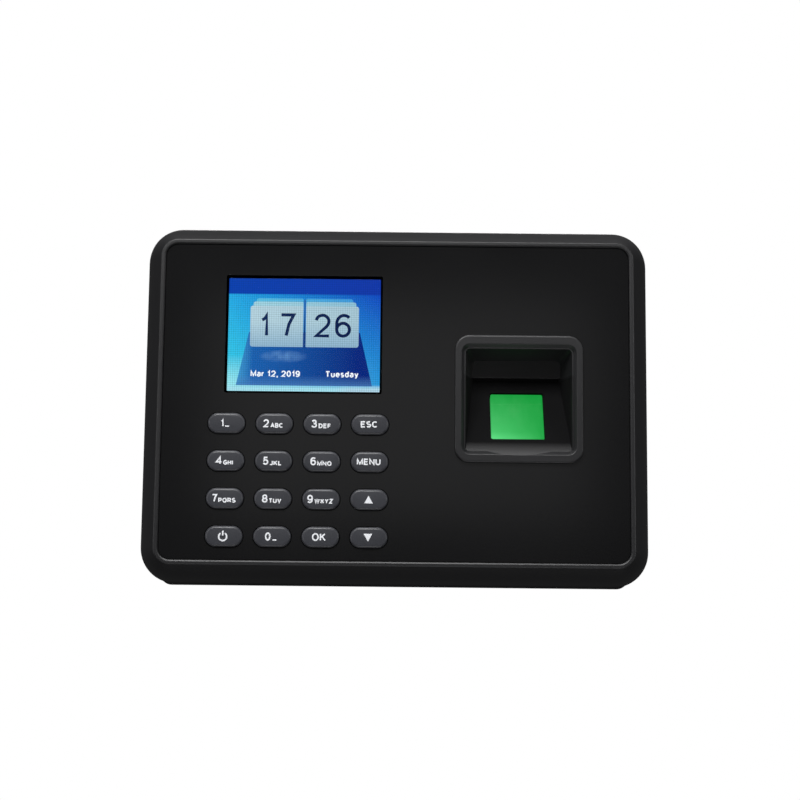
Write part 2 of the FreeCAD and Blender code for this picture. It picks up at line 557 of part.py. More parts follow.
# ---- rear half of the case ------------------------------------------------------------
def rear_case():
    """The rear moulding: a box on a flange, with the wall plate's pocket in its back."""
    centre_z, high = sum(REAR_Z) / 2, REAR_Z[1] - REAR_Z[0]
    outer = rounded(0, centre_z, 2 * REAR_X, high, REAR_R, (RING_Y[1], REAR_Y))
    outer = outer.makeFillet(2.0, edges_at(outer, REAR_Y))
    inner_y = (RING_Y[1] - 0.01, REAR_Y - WALL)
    room = rounded(0, centre_z, 2 * (REAR_X - WALL), high - 2 * WALL, REAR_R - WALL, inner_y)
    pocket_mid, pocket_h = sum(POCKET_Z) / 2, POCKET_Z[1] - POCKET_Z[0]
    raised = rounded(0, pocket_mid, 2 * (POCKET_X + WALL), pocket_h + 2 * WALL, 4.0,
                     (POCKET_Y - WALL, REAR_Y - 0.5))
    pocket = rounded(0, pocket_mid, 2 * POCKET_X, pocket_h, 3.0, (POCKET_Y, 1.0))
    box = outer.cut(room).fuse(raised).cut(pocket)

    ring_w, ring_h = 2 * (CREST_X + RING_OUT), 2 * (CREST_Z + RING_OUT)
    ring = rounded(0, 0, ring_w, ring_h, CREST_R + RING_OUT, RING_Y)
    opening_h = REAR_Z[1] - WALL + 54.5
    opening = rounded(0, REAR_Z[1] - WALL - opening_h / 2, 2 * (REAR_X - WALL), opening_h, 2.0,
                      (RING_Y[0] - 1, RING_Y[1] + 1))
    sill = block(about(0, 2 * (REAR_X - WALL) + 1), (RING_Y[1], RING_Y[1] + 1.5), (REAR_Z[0] + 1, -54.5))
    tubes = [rod(x, z, 4.0, (RING_Y[0], REAR_Y - 0.5)) for x, z in CASE_SCREWS]
    post_y = (MAIN_BOARD_Y + BOARD_T, REAR_Y - WALL + 0.5)
    board_posts = [rod(x, z, 3.0, post_y) for x, z in MAIN_BOARD_SCREWS]
    cup = rod(SPEAKER_X, SPEAKER_Z, SPEAKER_R + 1.2, (-6.0, REAR_Y - WALL + 0.2))
    cup = cup.cut(rod(SPEAKER_X, SPEAKER_Z, SPEAKER_R + 0.2, (-7.0, REAR_Y - WALL)))
    lead_way = block((SPEAKER_X - SPEAKER_R - 2, SPEAKER_X - SPEAKER_R + 2), (-7.0, REAR_Y - WALL),
                     about(SPEAKER_Z - 0.5, 4.0))
    cup = cup.cut(lead_way)
    case = fuse([box, ring.cut(opening), sill] + tubes + board_posts + [cup])

    cuts = [rod(x, z, 3.3, (CASE_SEAT_Y, 1.0)) for x, z in CASE_SCREWS]
    cuts += [rod(x, z, 1.6, (RING_Y[0] - 1, CASE_SEAT_Y + 1)) for x, z in CASE_SCREWS]
    cuts += [rod(x, z, 0.9, (MAIN_BOARD_Y, -9.0)) for x, z in MAIN_BOARD_SCREWS]
    cuts += [rod(x, z, FOOT_R + 0.1, (REAR_Y - 0.4, 1.0)) for x, z in FEET]
    cuts += grille_holes()
    for x in (-HOOK_X, HOOK_X):
        for z in HOOK_ZS:
            cuts.append(block(about(x, HOOK_WIDTH + 1.0), (POCKET_Y - WALL - 1, POCKET_Y + 1),
                              (z - LIFT - 0.25, z + PLATE_T + 0.1)))
    board_back = MAIN_BOARD_Y + BOARD_T
    below = (REAR_Z[0] - 1, REAR_Z[0] + WALL + 0.2)
    cuts.append(block(about(USB_X, USB_W + 0.8), about(board_back + USB_D / 2, USB_D + 0.8), below))
    cuts.append(post(JACK_X, board_back + JACK_D - 4.6, 4.4, below))
    return case.cut(cuts).removeSplitter()


def grille_holes():
    """Rings of small holes over the speaker."""
    through = (REAR_Y - WALL - 1, 1.0)
    holes = [rod(SPEAKER_X, SPEAKER_Z, 0.9, through)]
    for ring, count in ((2.8, 6), (5.6, 12), (8.2, 18)):
        for i in range(count):
            turn = 2 * math.pi * i / count
            x, z = SPEAKER_X + ring * math.cos(turn), SPEAKER_Z + ring * math.sin(turn)
            holes.append(rod(x, z, 0.9, through))
    return holes


def case_screws():
    """Four long screws from the back that close the case."""
    return group(screw(x, z, CASE_SEAT_Y, 1.25, 9.5, 2.9, 2.0) for x, z in CASE_SCREWS)


def rubber_feet():
    """Four pads on the back, for a terminal that lies on a desk."""
    return group(rod(x, z, FOOT_R, (REAR_Y - 0.4, REAR_Y - 0.4 + FOOT_T)) for x, z in FEET)


def wall_plate():
    """The steel plate that is screwed to the wall, with four hooks bent out of it."""
    plate = rounded(0, 0, 2 * PLATE_X, 2 * PLATE_Z, 3.0, (-PLATE_T, 0))
    arm_end = POCKET_Y - WALL - 0.3 - PLATE_T
    hooks, windows = [], []
    for x in (-HOOK_X, HOOK_X):
        for z in HOOK_ZS:
            across = about(x, HOOK_WIDTH)
            hooks.append(block(across, (arm_end, -PLATE_T / 2), (z, z + PLATE_T)))
            hooks.append(block(across, (arm_end, arm_end + PLATE_T), (z, z + PLATE_T + HOOK_RISE)))
            windows.append(block(about(x, HOOK_WIDTH + 1.0), (-PLATE_T - 1, 1), (z - 9.5, z)))
    half = HOLE_PITCH / 2
    holes = [rod(sx * half, sz * half, HOLE_R, (-5, 1)) for sx in (-1, 1) for sz in (-1, 1)]
    return fuse([plate.cut(windows + holes)] + hooks)


# ---- main board and what it carries -----------------------------------------------------
def main_board():
    """The circuit board in the rear case, with the sockets at its lower edge."""
    y = (MAIN_BOARD_Y, MAIN_BOARD_Y + BOARD_T)
    board = block(MAIN_BOARD_X, y, MAIN_BOARD_Z)
    return board.cut([rod(x, z, 1.3, (y[0] - 1, y[1] + 1)) for x, z in MAIN_BOARD_SCREWS])


def main_board_screws():
    """Four screws that hold the main board on the rear case's posts."""
    turned = [screw(x, -z, -MAIN_BOARD_Y, 0.85, 6.0, 2.2, 1.2) for x, z in MAIN_BOARD_SCREWS]
    for s in turned:
        s.rotate(V(0, 0, 0), V(1, 0, 0), 180)
    return group(turned)


def main_chips():
    """Processor, memory, amplifier and regulator, on the main board's rear face."""
    back = MAIN_BOARD_Y + BOARD_T
    packages = ((-8.0, -6.0, 14.0, 14.0, 1.4), (-26.0, -4.0, 10.0, 8.0, 1.2), (-42.0, 2.0, 5.2, 6.2, 1.6),
                (4.0, -22.0, 6.4, 5.2, 1.6), (-52.0, -14.0, 6.6, 3.6, 1.8), (-12.0, -44.0, 5.0, 5.0, 3.0))
    return group(block(about(x, w), (back, back + t), about(z, h)) for x, z, w, h, t in packages)


def main_capacitors():
    """Upright electrolytic cans beside the power socket."""
    back = MAIN_BOARD_Y + BOARD_T
    cans = ((-48.0, -26.0, 3.15, 7.5), (-40.0, -26.0, 3.15, 7.5), (-50.0, -4.0, 2.5, 5.5))
    return group(rod(x, z, r, (back, back + tall)) for x, z, r, tall in cans)


def main_plugs():
    """The two small plugs on the main board, for the sensor's and the speaker's leads."""
    back = MAIN_BOARD_Y + BOARD_T
    y = (back, back + 5.0)
    return group([block((2.0, 9.0), y, (-40.0, -30.0)), block((3.0, 9.0), y, (-12.0, -6.0))])


def cell_holder():
    """The open cup for the clock's button cell."""
    back = MAIN_BOARD_Y + BOARD_T
    cup = rod(-18.0, -26.0, 11.6, (back, back + 4.6)).cut(rod(-18.0, -26.0, 10.2, (back + 0.8, back + 6)))
    return cup.cut(block((-24.0, -12.0), (back + 2.0, back + 6), (-40.0, -30.0)))


def button_cell():
    """The 20 mm lithium cell that keeps the clock going."""
    back = MAIN_BOARD_Y + BOARD_T + 0.8
    cell = rod(-18.0, -26.0, 10.0, (back, back + 3.2))
    return cell.makeFillet(0.5, edges_at(cell, back + 3.2))


def usb_socket():
    """The USB socket's folded steel shell, open at the bottom."""
    y = (MAIN_BOARD_Y + BOARD_T, MAIN_BOARD_Y + BOARD_T + USB_D)
    z = (MOUTHS_Z, MOUTHS_Z + USB_L)
    x = about(USB_X, USB_W)
    inner_x = (x[0] + USB_SHEET, x[1] - USB_SHEET)
    inner_y = (y[0] + USB_SHEET, y[1] - USB_SHEET)
    return block(x, y, z).cut(block(inner_x, inner_y, (z[0] - 1, z[1] - USB_SHEET)))


def usb_tongue():
    """The plastic tongue with the contacts, inside the USB socket."""
    y0 = MAIN_BOARD_Y + BOARD_T + USB_SHEET
    back = block(about(USB_X, 12.4), (y0, y0 + 5.0), (MOUTHS_Z + 10.2, MOUTHS_Z + 13.6))
    tongue = block(about(USB_X, 11.1), (y0 + 0.6, y0 + 2.4), (MOUTHS_Z + 1.2, MOUTHS_Z + 10.6))
    return fuse([back, tongue])


def power_jack():
    """The round 5 V socket: a block with a nose that fills its hole in the case."""
    y = (MAIN_BOARD_Y + BOARD_T, MAIN_BOARD_Y + BOARD_T + JACK_D)
    nose_y = y[1] - 4.6
    body = block(about(JACK_X, JACK_W), y, (REAR_Z[0] + WALL + 0.1, MOUTHS_Z + JACK_L))
    nose = post(JACK_X, nose_y, 4.2, (MOUTHS_Z, REAR_Z[0] + WALL + 0.5))
    return fuse([body, nose]).cut(post(JACK_X, nose_y, JACK_BORE_R, (MOUTHS_Z - 1, MOUTHS_Z + 9.5)))


def jack_pin():
    """The power socket's centre pin."""
    nose_y = MAIN_BOARD_Y + BOARD_T + JACK_D - 4.6
    pin = post(JACK_X, nose_y, JACK_PIN_R, (MOUTHS_Z + 1.0, MOUTHS_Z + 9.5))
    return pin.makeFillet(0.4, [e for e in pin.Edges if e.BoundBox.ZMax < MOUTHS_Z + 1.01])


# ---- speaker and leads ----------------------------------------------------------------
def speaker_basket():
    """The speaker's steel basket, a dish with a flat rim."""
    rim_y = REAR_Y - WALL - 0.1
    rim = rod(SPEAKER_X, SPEAKER_Z, SPEAKER_R, (rim_y - 1.0, rim_y))
    dish = rod(SPEAKER_X, SPEAKER_Z, 8.6, (rim_y - 3.2, rim_y - 0.9))
    room = Part.makeCone(6.6, 8.8, 2.6, V(SPEAKER_X, rim_y - 2.6, SPEAKER_Z), V(0, 1, 0))
    return fuse([rim, dish]).cut(room)


def speaker_cone():
    """The speaker's paper cone with its dust cap."""
    rim_y = REAR_Y - WALL - 0.1
    outer = Part.makeCone(6.3, 8.3, 1.7, V(SPEAKER_X, rim_y - 2.0, SPEAKER_Z), V(0, 1, 0))
    scooped = outer.cut(Part.makeCone(3.0, 8.2, 1.4, V(SPEAKER_X, rim_y - 1.6, SPEAKER_Z), V(0, 1, 0)))
    cap = Part.makeSphere(6.0, V(SPEAKER_X, rim_y - 6.6, SPEAKER_Z)).common(
        rod(SPEAKER_X, SPEAKER_Z, 3.4, (rim_y - 2.0, rim_y)))
    return fuse([scooped, cap])


def speaker_magnet():
    """The magnet pot on the speaker's inner side."""
    front = REAR_Y - WALL - 0.1 - 3.2
    pot = rod(SPEAKER_X, SPEAKER_Z, 6.0, (front - 2.4, front))
    return pot.makeFillet(0.6, edges_at(pot, front - 2.4))


def sensor_cable():
    """The sensor's lead, from its board round to the plug on the main board."""
    start = in_ramp_frame(Part.Vertex(V(0, 19.2, -9.0))).Point
    behind = in_ramp_frame(Part.Vertex(V(0, 21.0, -9.0))).Point
    plug_y = MAIN_BOARD_Y + BOARD_T + 2.5
    route = [start, behind, V(31.0, -7.5, -27.0), V(21.0, -9.5, -33.0), V(14.0, plug_y, -35.0),
             V(9.05, plug_y, -35.0)]
    return wire_tube(route, 1.1)


def speaker_lead():
    """The speaker's twin lead, from its basket to the plug on the main board."""
    plug_y = MAIN_BOARD_Y + BOARD_T + 2.5
    start_y = REAR_Y - WALL - 0.1 - 2.0
    route = [V(SPEAKER_X - 9.4, start_y - 0.6, SPEAKER_Z), V(52.0, -8.0, -28.5), V(42.0, -8.5, -31.5),
             V(30.0, -11.5, -31.0), V(21.0, -13.5, -20.0), V(15.0, plug_y, -9.0), V(9.05, plug_y, -9.0)]
    return wire_tube(route, 0.7)


# ---- all pieces -------------------------------------------------------------------------
def main():
    makers = [front_shell, front_panel, display_window, display_gasket, display_cell, display_backlight,
              display_holder, display_flex, keypad_mat, keypad_board, keypad_board_screws,
              ribbon_connector, board_link, sensor_bezel, sensor_prism, sensor_gasket, sensor_housing,
              sensor_board, sensor_leds, sensor_camera, sensor_screws, rear_case, case_screws, rubber_feet,
              wall_plate, main_board, main_board_screws, main_chips, main_capacitors, main_plugs,
              cell_holder, button_cell, usb_socket, usb_tongue, power_jack, jack_pin, speaker_basket,
              speaker_cone, speaker_magnet, sensor_cable, speaker_lead]
    pieces = {maker.__name__: maker() for maker in makers}
    one_key = key()
    for name, x, z in key_centres():
        pieces[name] = one_key.translated(V(x, 0, z))
    os.makedirs("parts", exist_ok=True)
    for name, shape in pieces.items():
        if not shape.isValid() or shape.Volume <= 0:
            print("INVALID", name)
        shape.exportStep(os.path.join("parts", name + ".step"))
    print(len(pieces), "pieces written")


main()
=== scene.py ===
# %% [markdown]
# # A fingerprint terminal for a wall
# The object is a low black box with a screen, sixteen keys and a lit finger sensor. Its shapes come from
# an engineering model, so this lesson loads that model, leaves its pieces where they are, and adds what
# engineering leaves out: the legends on the keys, the picture on the screen, small contacts, and a
# finish with real grain for every surface. A studio and a camera come last.

# %% Load the engineering model
import math

import bmesh
import bpy
from mathutils import Matrix, Vector


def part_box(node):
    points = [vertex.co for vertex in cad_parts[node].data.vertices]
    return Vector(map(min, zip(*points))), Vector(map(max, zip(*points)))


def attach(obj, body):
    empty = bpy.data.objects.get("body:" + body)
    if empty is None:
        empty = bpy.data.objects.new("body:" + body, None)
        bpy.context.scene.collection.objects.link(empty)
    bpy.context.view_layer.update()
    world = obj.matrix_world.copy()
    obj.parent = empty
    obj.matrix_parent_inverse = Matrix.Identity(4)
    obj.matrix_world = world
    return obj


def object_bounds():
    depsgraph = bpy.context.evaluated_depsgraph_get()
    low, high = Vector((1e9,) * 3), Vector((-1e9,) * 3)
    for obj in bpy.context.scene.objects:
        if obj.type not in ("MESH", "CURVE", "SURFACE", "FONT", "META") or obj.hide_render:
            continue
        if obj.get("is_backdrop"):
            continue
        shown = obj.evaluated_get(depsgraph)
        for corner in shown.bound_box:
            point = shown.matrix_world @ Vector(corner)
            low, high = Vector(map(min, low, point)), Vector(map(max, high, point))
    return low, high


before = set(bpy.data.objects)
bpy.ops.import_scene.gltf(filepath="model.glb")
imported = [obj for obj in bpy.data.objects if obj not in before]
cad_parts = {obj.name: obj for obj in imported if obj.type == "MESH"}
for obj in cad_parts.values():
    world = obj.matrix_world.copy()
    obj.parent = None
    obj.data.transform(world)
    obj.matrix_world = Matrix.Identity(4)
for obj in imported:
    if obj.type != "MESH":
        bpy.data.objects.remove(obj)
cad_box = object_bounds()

MM = 0.001
scene = bpy.context.scene

# %% [markdown]
# ## Colours
# A shader mixes light, so it wants linear colours, while people name colours as a display shows them.
# One small function turns display values into linear ones, so every colour below can be read as usual.

# %% Display colours
def tint(red, green, blue):
    """The linear colour of 8-bit display values."""
    def linear(value):
        value /= 255
        return value / 12.92 if value <= 0.04045 else ((value + 0.055) / 1.055) ** 2.4
    return (linear(red), linear(green), linear(blue), 1.0)


scene.view_settings.view_transform = "Standard"
print("mid grey is", round(tint(128, 128, 128)[0], 3))

# %% [markdown]
# ## Writing shaders as sums
# A finish varies over its surface, and each variation is a sum of a few patterns. Wiring those by hand is
# slow to read, so a number in a shader is wrapped in a class that knows Python's arithmetic. `1 - mask`
# then adds a Math node by itself. Everything that isn't arithmetic comes from one method, `node`.

# %% Numbers that vary over a surface
class Shade:
    """A shader socket that carries a number, with Python's arithmetic."""

    def __init__(self, finish, socket):
        self.finish, self.socket = finish, socket

    def maths(self, operation, *values, clamp=False):
        settings = {"operation": operation, "use_clamp": clamp}
        return self.finish.node("ShaderNodeMath", settings, dict(enumerate(values)))

    def __add__(self, other):
        return self.maths("ADD", self, other)

    def __sub__(self, other):
        return self.maths("SUBTRACT", self, other)

    def __rsub__(self, other):
        return self.maths("SUBTRACT", other, self)

    def __mul__(self, other):
        return self.maths("MULTIPLY", self, other)

    def __lt__(self, other):
        return self.maths("LESS_THAN", self, other)

    def ramp(self, low, high):
        """0 below low, 1 above high and a straight line between."""
        return self.maths("MULTIPLY_ADD", self, 1 / (high - low), -low / (high - low), clamp=True)

    def wave(self, length):
        """A ripple from 0 to 1 that repeats after length."""
        turns = self.maths("MULTIPLY", self, 2 * math.pi / length)
        return self.maths("MULTIPLY_ADD", self.maths("SINE", turns), 0.5, 0.5)

    __radd__, __rmul__ = __add__, __mul__


class Finish:
    """One material: a Principled shader and the nodes that vary it."""

    def __init__(self, name, **constants):
        self.material = bpy.data.materials.new(name)
        self.material.use_nodes = True
        self.tree = self.material.node_tree
        self.shader = self.tree.nodes["Principled BSDF"]
        for socket, value in constants.items():
            self.shader.inputs[socket.replace("_", " ")].default_value = value

    def join(self, socket, value):
        if isinstance(value, Shade):
            self.tree.links.new(value.socket, socket)
        else:
            socket.default_value = value

    def node(self, kind, settings=None, sockets=None, output=0):
        """Any node: its type, its settings, the values or links of its sockets, and the output wanted."""
        made = self.tree.nodes.new(kind)
        for name, value in (settings or {}).items():
            if name == "stops":
                for stop, (place, colour) in zip(made.color_ramp.elements, value):
                    stop.position, stop.color = place, colour
            else:
                setattr(made, name, value)
        for name, value in (sockets or {}).items():
            self.join(made.inputs[name], value)
        return Shade(self, made.outputs[output])

    def place(self, scale=(1, 1, 1), move=(0, 0, 0), turn=(0, 0, 0)):
        """The point on the object, in metres, scaled, turned and moved."""
        where = self.node("ShaderNodeTexCoord", output="Object")
        return self.node("ShaderNodeMapping", sockets={
            "Vector": where, "Scale": scale, "Location": move, "Rotation": turn})

    def along(self, axis):
        """One coordinate of the point on the object, in millimetres."""
        where = self.place(scale=(1 / MM,) * 3)
        return self.node("ShaderNodeSeparateXYZ", sockets={0: where}, output=axis)

    def noise(self, size, where=None, detail=2.0):
        """Cloudy noise whose blobs are about size metres wide."""
        return self.node("ShaderNodeTexNoise", sockets={
            "Vector": where or self.place(), "Scale": 1 / size, "Detail": detail})

    def cells(self, size, feature="F1", output="Distance", where=None):
        """Voronoi cells about size metres wide."""
        return self.node("ShaderNodeTexVoronoi", {"feature": feature}, {
            "Vector": where or self.place(), "Scale": 1 / size}, output)

    def mix(self, share, first, second):
        """A colour between two colours."""
        return self.node("ShaderNodeMix", {"data_type": "RGBA"}, {0: share, 6: first, 7: second}, 2)

    def bump(self, height, depth, strength=1.0):
        """A surface normal from a height of 0 to 1 that stands for depth metres."""
        return self.node("ShaderNodeBump", sockets={
            "Height": height, "Distance": depth, "Strength": strength})

    def feed(self, **sockets):
        """Links to the shader's own sockets."""
        for name, value in sockets.items():
            self.join(self.shader.inputs[name.replace("_", " ")], value)
        return self


finishes = {}
print("a finish has", len(Finish("trial").shader.inputs), "sockets")
bpy.data.materials.remove(bpy.data.materials["trial"])

# %% [markdown]
# ## Moulded plastic
# The case, the sensor's frame and the keys are injection moulded in steel tools whose faces were spark
# eroded, which leaves a fine even grain. A plain noise for colour would look dirty, so the grain goes
# mostly into the bump, a little into the roughness, and only a trace into the colour. A broad, slow
# noise changes the gloss the way handling does. Behind the mouth of the sensor's well the frame turns
# dull and black by depth: this is painted shade, standing for the shadow inside the well.

# %% A recipe for moulded plastic, and its colours
def moulded(name, colour, gloss, grain_size=0.16 * MM, grain_depth=0.006 * MM, mottle=0.25, **constants):
    """Satin plastic: a base colour, a roughness and the grain of its mould."""
    finish = Finish(name, **constants)
    grain = finish.noise(grain_size, detail=3.0)
    handling = finish.noise(22 * MM, detail=1.0)
    darker = tuple(c * (1 - mottle) for c in colour[:3]) + (1.0,)
    lighter = tuple(c * (1 + mottle) for c in colour[:3]) + (1.0,)
    return finish.feed(
        Base_Color=finish.mix(grain * 0.8 + handling * 0.2, darker, lighter),
        Roughness=gloss - 0.05 + grain * 0.04 + handling * 0.06,
        Normal=finish.bump(grain, grain_depth))


def paint_well_shade(finish, mouth, reach, top):
    """Paints shade into a well: the finish turns dull and black behind its mouth, over reach millimetres and
    below top.
    """
    dull = finish.node("ShaderNodeBsdfPrincipled", sockets={
        "Base Color": tint(11, 11, 12), "Roughness": 0.9, "Specular IOR Level": 0.12})
    painted_shade = finish.along("Y").ramp(mouth, mouth + reach) * (1 - finish.along("Z").ramp(top, top + 1))
    both = finish.node("ShaderNodeMixShader", sockets={
        0: painted_shade, 1: Shade(finish, finish.shader.outputs["BSDF"]), 2: dull})
    finish.join(finish.tree.nodes["Material Output"].inputs["Surface"], both)
    return finish


finishes["case"] = moulded("case_plastic", tint(23, 23, 25), 0.44)
# the frame's plastic, with painted shade mixed in behind the mouth of the well
finishes["bezel"] = paint_well_shade(moulded("sensor_frame_plastic", tint(25, 25, 27), 0.43),
                               mouth=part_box("sensor_bezel")[0].y / MM + 0.3, reach=2.8, top=8.5)
finishes["key"] = moulded("key_plastic", tint(52, 53, 58), 0.36, grain_size=0.22 * MM,
                          grain_depth=0.012 * MM, mottle=0.5)
finishes["nylon"] = moulded("black_nylon", tint(34, 34, 35), 0.55)
finishes["ivory"] = moulded("ivory_nylon", tint(222, 214, 190), 0.5)
finishes["white"] = moulded("white_moulding", tint(226, 226, 220), 0.45)
finishes["chip"] = moulded("chip_epoxy", tint(38, 38, 40), 0.6, grain_size=0.08 * MM)
finishes["lens_barrel"] = moulded("blackened_barrel", tint(20, 20, 20), 0.7)
print(len(finishes), "moulded finishes")

# %% [markdown]
# ## The front panel
# One sheet of black acrylic covers the whole front. Its face is satin, not moulded: very fine, very
# shallow, with a slow waviness that bends wide reflections. Bump alone would not show that waviness in
# soft light, so the roughness drifts with it.

# %% Satin acrylic
def satin_sheet():
    finish = Finish("black_acrylic", IOR=1.49)
    satin = finish.noise(0.11 * MM, detail=2.0)
    wave = finish.noise(38 * MM, detail=1.0)
    return finish.feed(
        Base_Color=finish.mix(wave, tint(14, 14, 15), tint(17, 17, 18)),
        Roughness=0.13 + wave * 0.05 + satin * 0.02,
        Normal=finish.bump(satin * 0.6 + wave * 0.4, 0.004 * MM))


finishes["panel"] = satin_sheet()
print("panel finish made")

# %% [markdown]
# ## Metals
# The wall plate is galvanised sheet: zinc freezes in flat crystals, each with its own sheen, which Voronoi
# cells give. Screws, trays and shells are rolled or drawn steel, where noise stretched along the rolling
# direction makes the streaks. The button cell and the speaker's magnet are turned; their streaks are stretched
# front to back.

# %% Rolled, turned and galvanised metal
def rolled(name, colour, gloss, stretch=(1, 1, 0.06), grain=0.25 * MM):
    """Metal with streaks along its rolling direction."""
    finish = Finish(name, Metallic=1.0)
    streaks = finish.noise(grain, finish.place(scale=stretch), detail=4.0)
    stain = finish.noise(9 * MM, detail=3.0)
    dull = tuple(c * 0.72 for c in colour[:3]) + (1.0,)
    return finish.feed(
        Base_Color=finish.mix(streaks * 0.5 + stain * 0.5, dull, colour),
        Roughness=gloss + streaks * 0.16 + stain * 0.06,
        Normal=finish.bump(streaks, 0.004 * MM))


def galvanised(name):
    """Zinc-coated sheet with its crystals."""
    finish = Finish(name, Metallic=1.0)
    spangle = finish.node("ShaderNodeSeparateColor", sockets={
        0: finish.cells(4.5 * MM, output="Color")})
    border = finish.cells(4.5 * MM, feature="DISTANCE_TO_EDGE")
    frost = finish.noise(0.4 * MM, detail=4.0)
    return finish.feed(
        Base_Color=finish.mix(spangle * 0.5 + frost * 0.4, tint(176, 179, 182), tint(205, 208, 210)),
        Roughness=0.40 + spangle * 0.08 + frost * 0.08,
        Normal=finish.bump(border.ramp(0.0, 0.06) * 0.6 + frost * 0.4, 0.006 * MM))


finishes["zinc_plate"] = galvanised("galvanised_sheet")
finishes["screw"] = rolled("zinc_screw", tint(196, 198, 202), 0.28, stretch=(1, 0.3, 1))
finishes["tray"] = rolled("tray_steel", tint(188, 188, 190), 0.30)
finishes["tinned"] = rolled("tinned_shell", tint(214, 214, 214), 0.16)
finishes["cell"] = rolled("nickel_cell", tint(205, 204, 200), 0.24, stretch=(1, 0.05, 1))
finishes["can"] = rolled("drawn_can", tint(210, 212, 214), 0.22, stretch=(1, 0.08, 1))
finishes["gold"] = rolled("gilt_contact", tint(222, 176, 92), 0.22)
print("metals:", ", ".join(n for n in finishes if finishes[n].shader.inputs["Metallic"].default_value == 1))

# %% [markdown]
# ## Circuit boards and their ribbon
# A board is glass laminate under green lacquer, and the copper below shows as raised lighter lines. A
# Voronoi pattern measured in square steps gives short straight runs with corners, which is close to how
# tracks lie. The ribbon is amber film, with copper lines that a simple ripple draws.

# %% Board lacquer and ribbon film
def lacquered_board():
    finish = Finish("board_lacquer", Coat_Weight=0.5, Coat_Roughness=0.12)
    runs = finish.node("ShaderNodeTexVoronoi", {"distance": "CHEBYCHEV", "feature": "F2"}, {
        "Vector": finish.place(), "Scale": 1 / (3.2 * MM), "Randomness": 0.7})
    tracks = runs.wave(0.22).ramp(0.62, 0.72)
    weave = finish.noise(0.5 * MM, detail=3.0)
    return finish.feed(
        Base_Color=finish.mix(tracks * 0.7 + weave * 0.3, tint(8, 62, 38), tint(22, 104, 60)),
        Roughness=0.30 + weave * 0.12,
        Normal=finish.bump(tracks * 0.8 + weave * 0.2, 0.03 * MM))


def ribbon():
    finish = Finish("ribbon_film", Coat_Weight=0.6, Coat_Roughness=0.1)
    lines = finish.along("Z").wave(0.8).ramp(0.45, 0.6)
    return finish.feed(
        Base_Color=finish.mix(lines, tint(150, 84, 18), tint(206, 140, 62)),
        Roughness=0.34 - lines * 0.08 + finish.noise(2 * MM) * 0.1,
        Normal=finish.bump(lines, 0.02 * MM))


finishes["board"] = lacquered_board()
finishes["ribbon"] = ribbon()
print("board and ribbon finishes made")

# %% [markdown]
# ## Rubber, foam, paper and insulation
# Soft parts scatter light and pick up dust. Foam is cut through its bubbles, so it is pitted by small
# cells; moulded rubber is smooth with a bloom; cone paper is felted fibre; wire insulation is glossy.

# %% Soft finishes
def soft(name, colour, gloss, size, depth, pitted=False, sheen=0.0):
    """A soft part: foam has pits, the rest has fine noise, and dust lightens both."""
    finish = Finish(name, Sheen_Weight=sheen)
    relief = finish.cells(size) if pitted else finish.noise(size, detail=4.0)
    dust = finish.noise(6 * MM, detail=4.0)
    dusty = tuple(c * 1.6 + 0.004 for c in colour[:3]) + (1.0,)
    return finish.feed(
        Base_Color=finish.mix(dust.ramp(0.35, 0.8) * 0.6 + relief * 0.3, colour, dusty),
        Roughness=gloss + relief * 0.08,
        Normal=finish.bump(relief, depth))


finishes["foam"] = soft("cut_foam", tint(30, 30, 30), 0.85, 0.35 * MM, 0.12 * MM, pitted=True)
finishes["silicone"] = soft("keypad_silicone", tint(88, 88, 92), 0.55, 0.5 * MM, 0.01 * MM, sheen=0.2)
finishes["foot"] = soft("foot_rubber", tint(34, 34, 34), 0.7, 0.3 * MM, 0.02 * MM)
finishes["paper"] = soft("cone_paper", tint(44, 43, 42), 0.8, 0.25 * MM, 0.05 * MM, sheen=0.3)
finishes["black_lead"] = soft("black_insulation", tint(28, 28, 29), 0.32, 0.6 * MM, 0.008 * MM)
finishes["red_lead"] = soft("red_insulation", tint(150, 22, 20), 0.32, 0.6 * MM, 0.008 * MM)
print(len(finishes), "finishes so far")

# %% [markdown]
# ## Clear parts
# The screen's window is a polished lens, and the sensor's glass is lit green from behind. A clear part
# with perfect gloss looks computed, so both carry a trace of finger grease in their roughness. The green
# glow is light rather than paint: it is brightest where the lamps sit, low and to the left, and a brighter
# line runs along the lower edge, where the glass pipes light. The glass's base colour is darker towards
# the top, which is painted shade.

# %% Window and finger glass
GLASS_LOW, GLASS_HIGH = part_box("sensor_prism")


def smudges(finish, least, most):
    """A roughness with patches of finger grease."""
    return least + finish.noise(7 * MM, detail=5.0).ramp(0.45, 0.75) * (most - least)


def clear_window():
    finish = Finish("window_acrylic", Transmission_Weight=1.0, IOR=1.12, Base_Color=(0.97, 0.985, 1.0, 1.0))
    return finish.feed(
        Roughness=smudges(finish, 0.0, 0.03),
        Normal=finish.bump(finish.noise(14 * MM), 0.002 * MM))


def finger_glass():
    finish = Finish("finger_glass", IOR=1.52, Emission_Strength=1.0, Coat_Weight=0.3, Coat_Roughness=0.05)
    x, z = finish.along("X"), finish.along("Z")
    rightwards = x.ramp(GLASS_LOW.x / MM, GLASS_HIGH.x / MM)
    upwards = z.ramp(GLASS_LOW.z / MM + 1.0, GLASS_HIGH.z / MM)
    pooled = (1 - rightwards * 0.95) * (1 - upwards * 0.9)
    rim = 1 - z.ramp(GLASS_LOW.z / MM + 1.2, GLASS_LOW.z / MM + 3.6)
    streaks = finish.noise(3 * MM, finish.place(scale=(1, 1, 0.2)))
    light = pooled * 0.6 + rim * (1 - rightwards) * 0.35 + (streaks - 0.5) * 0.12
    # the base colour is darker towards the top: painted shade that goes with the glow
    return finish.feed(
        Base_Color=finish.mix(upwards, tint(20, 70, 34), tint(12, 48, 22)),
        Emission_Color=finish.mix(light, tint(14, 148, 54), tint(98, 222, 134)),
        Roughness=smudges(finish, 0.05, 0.16))


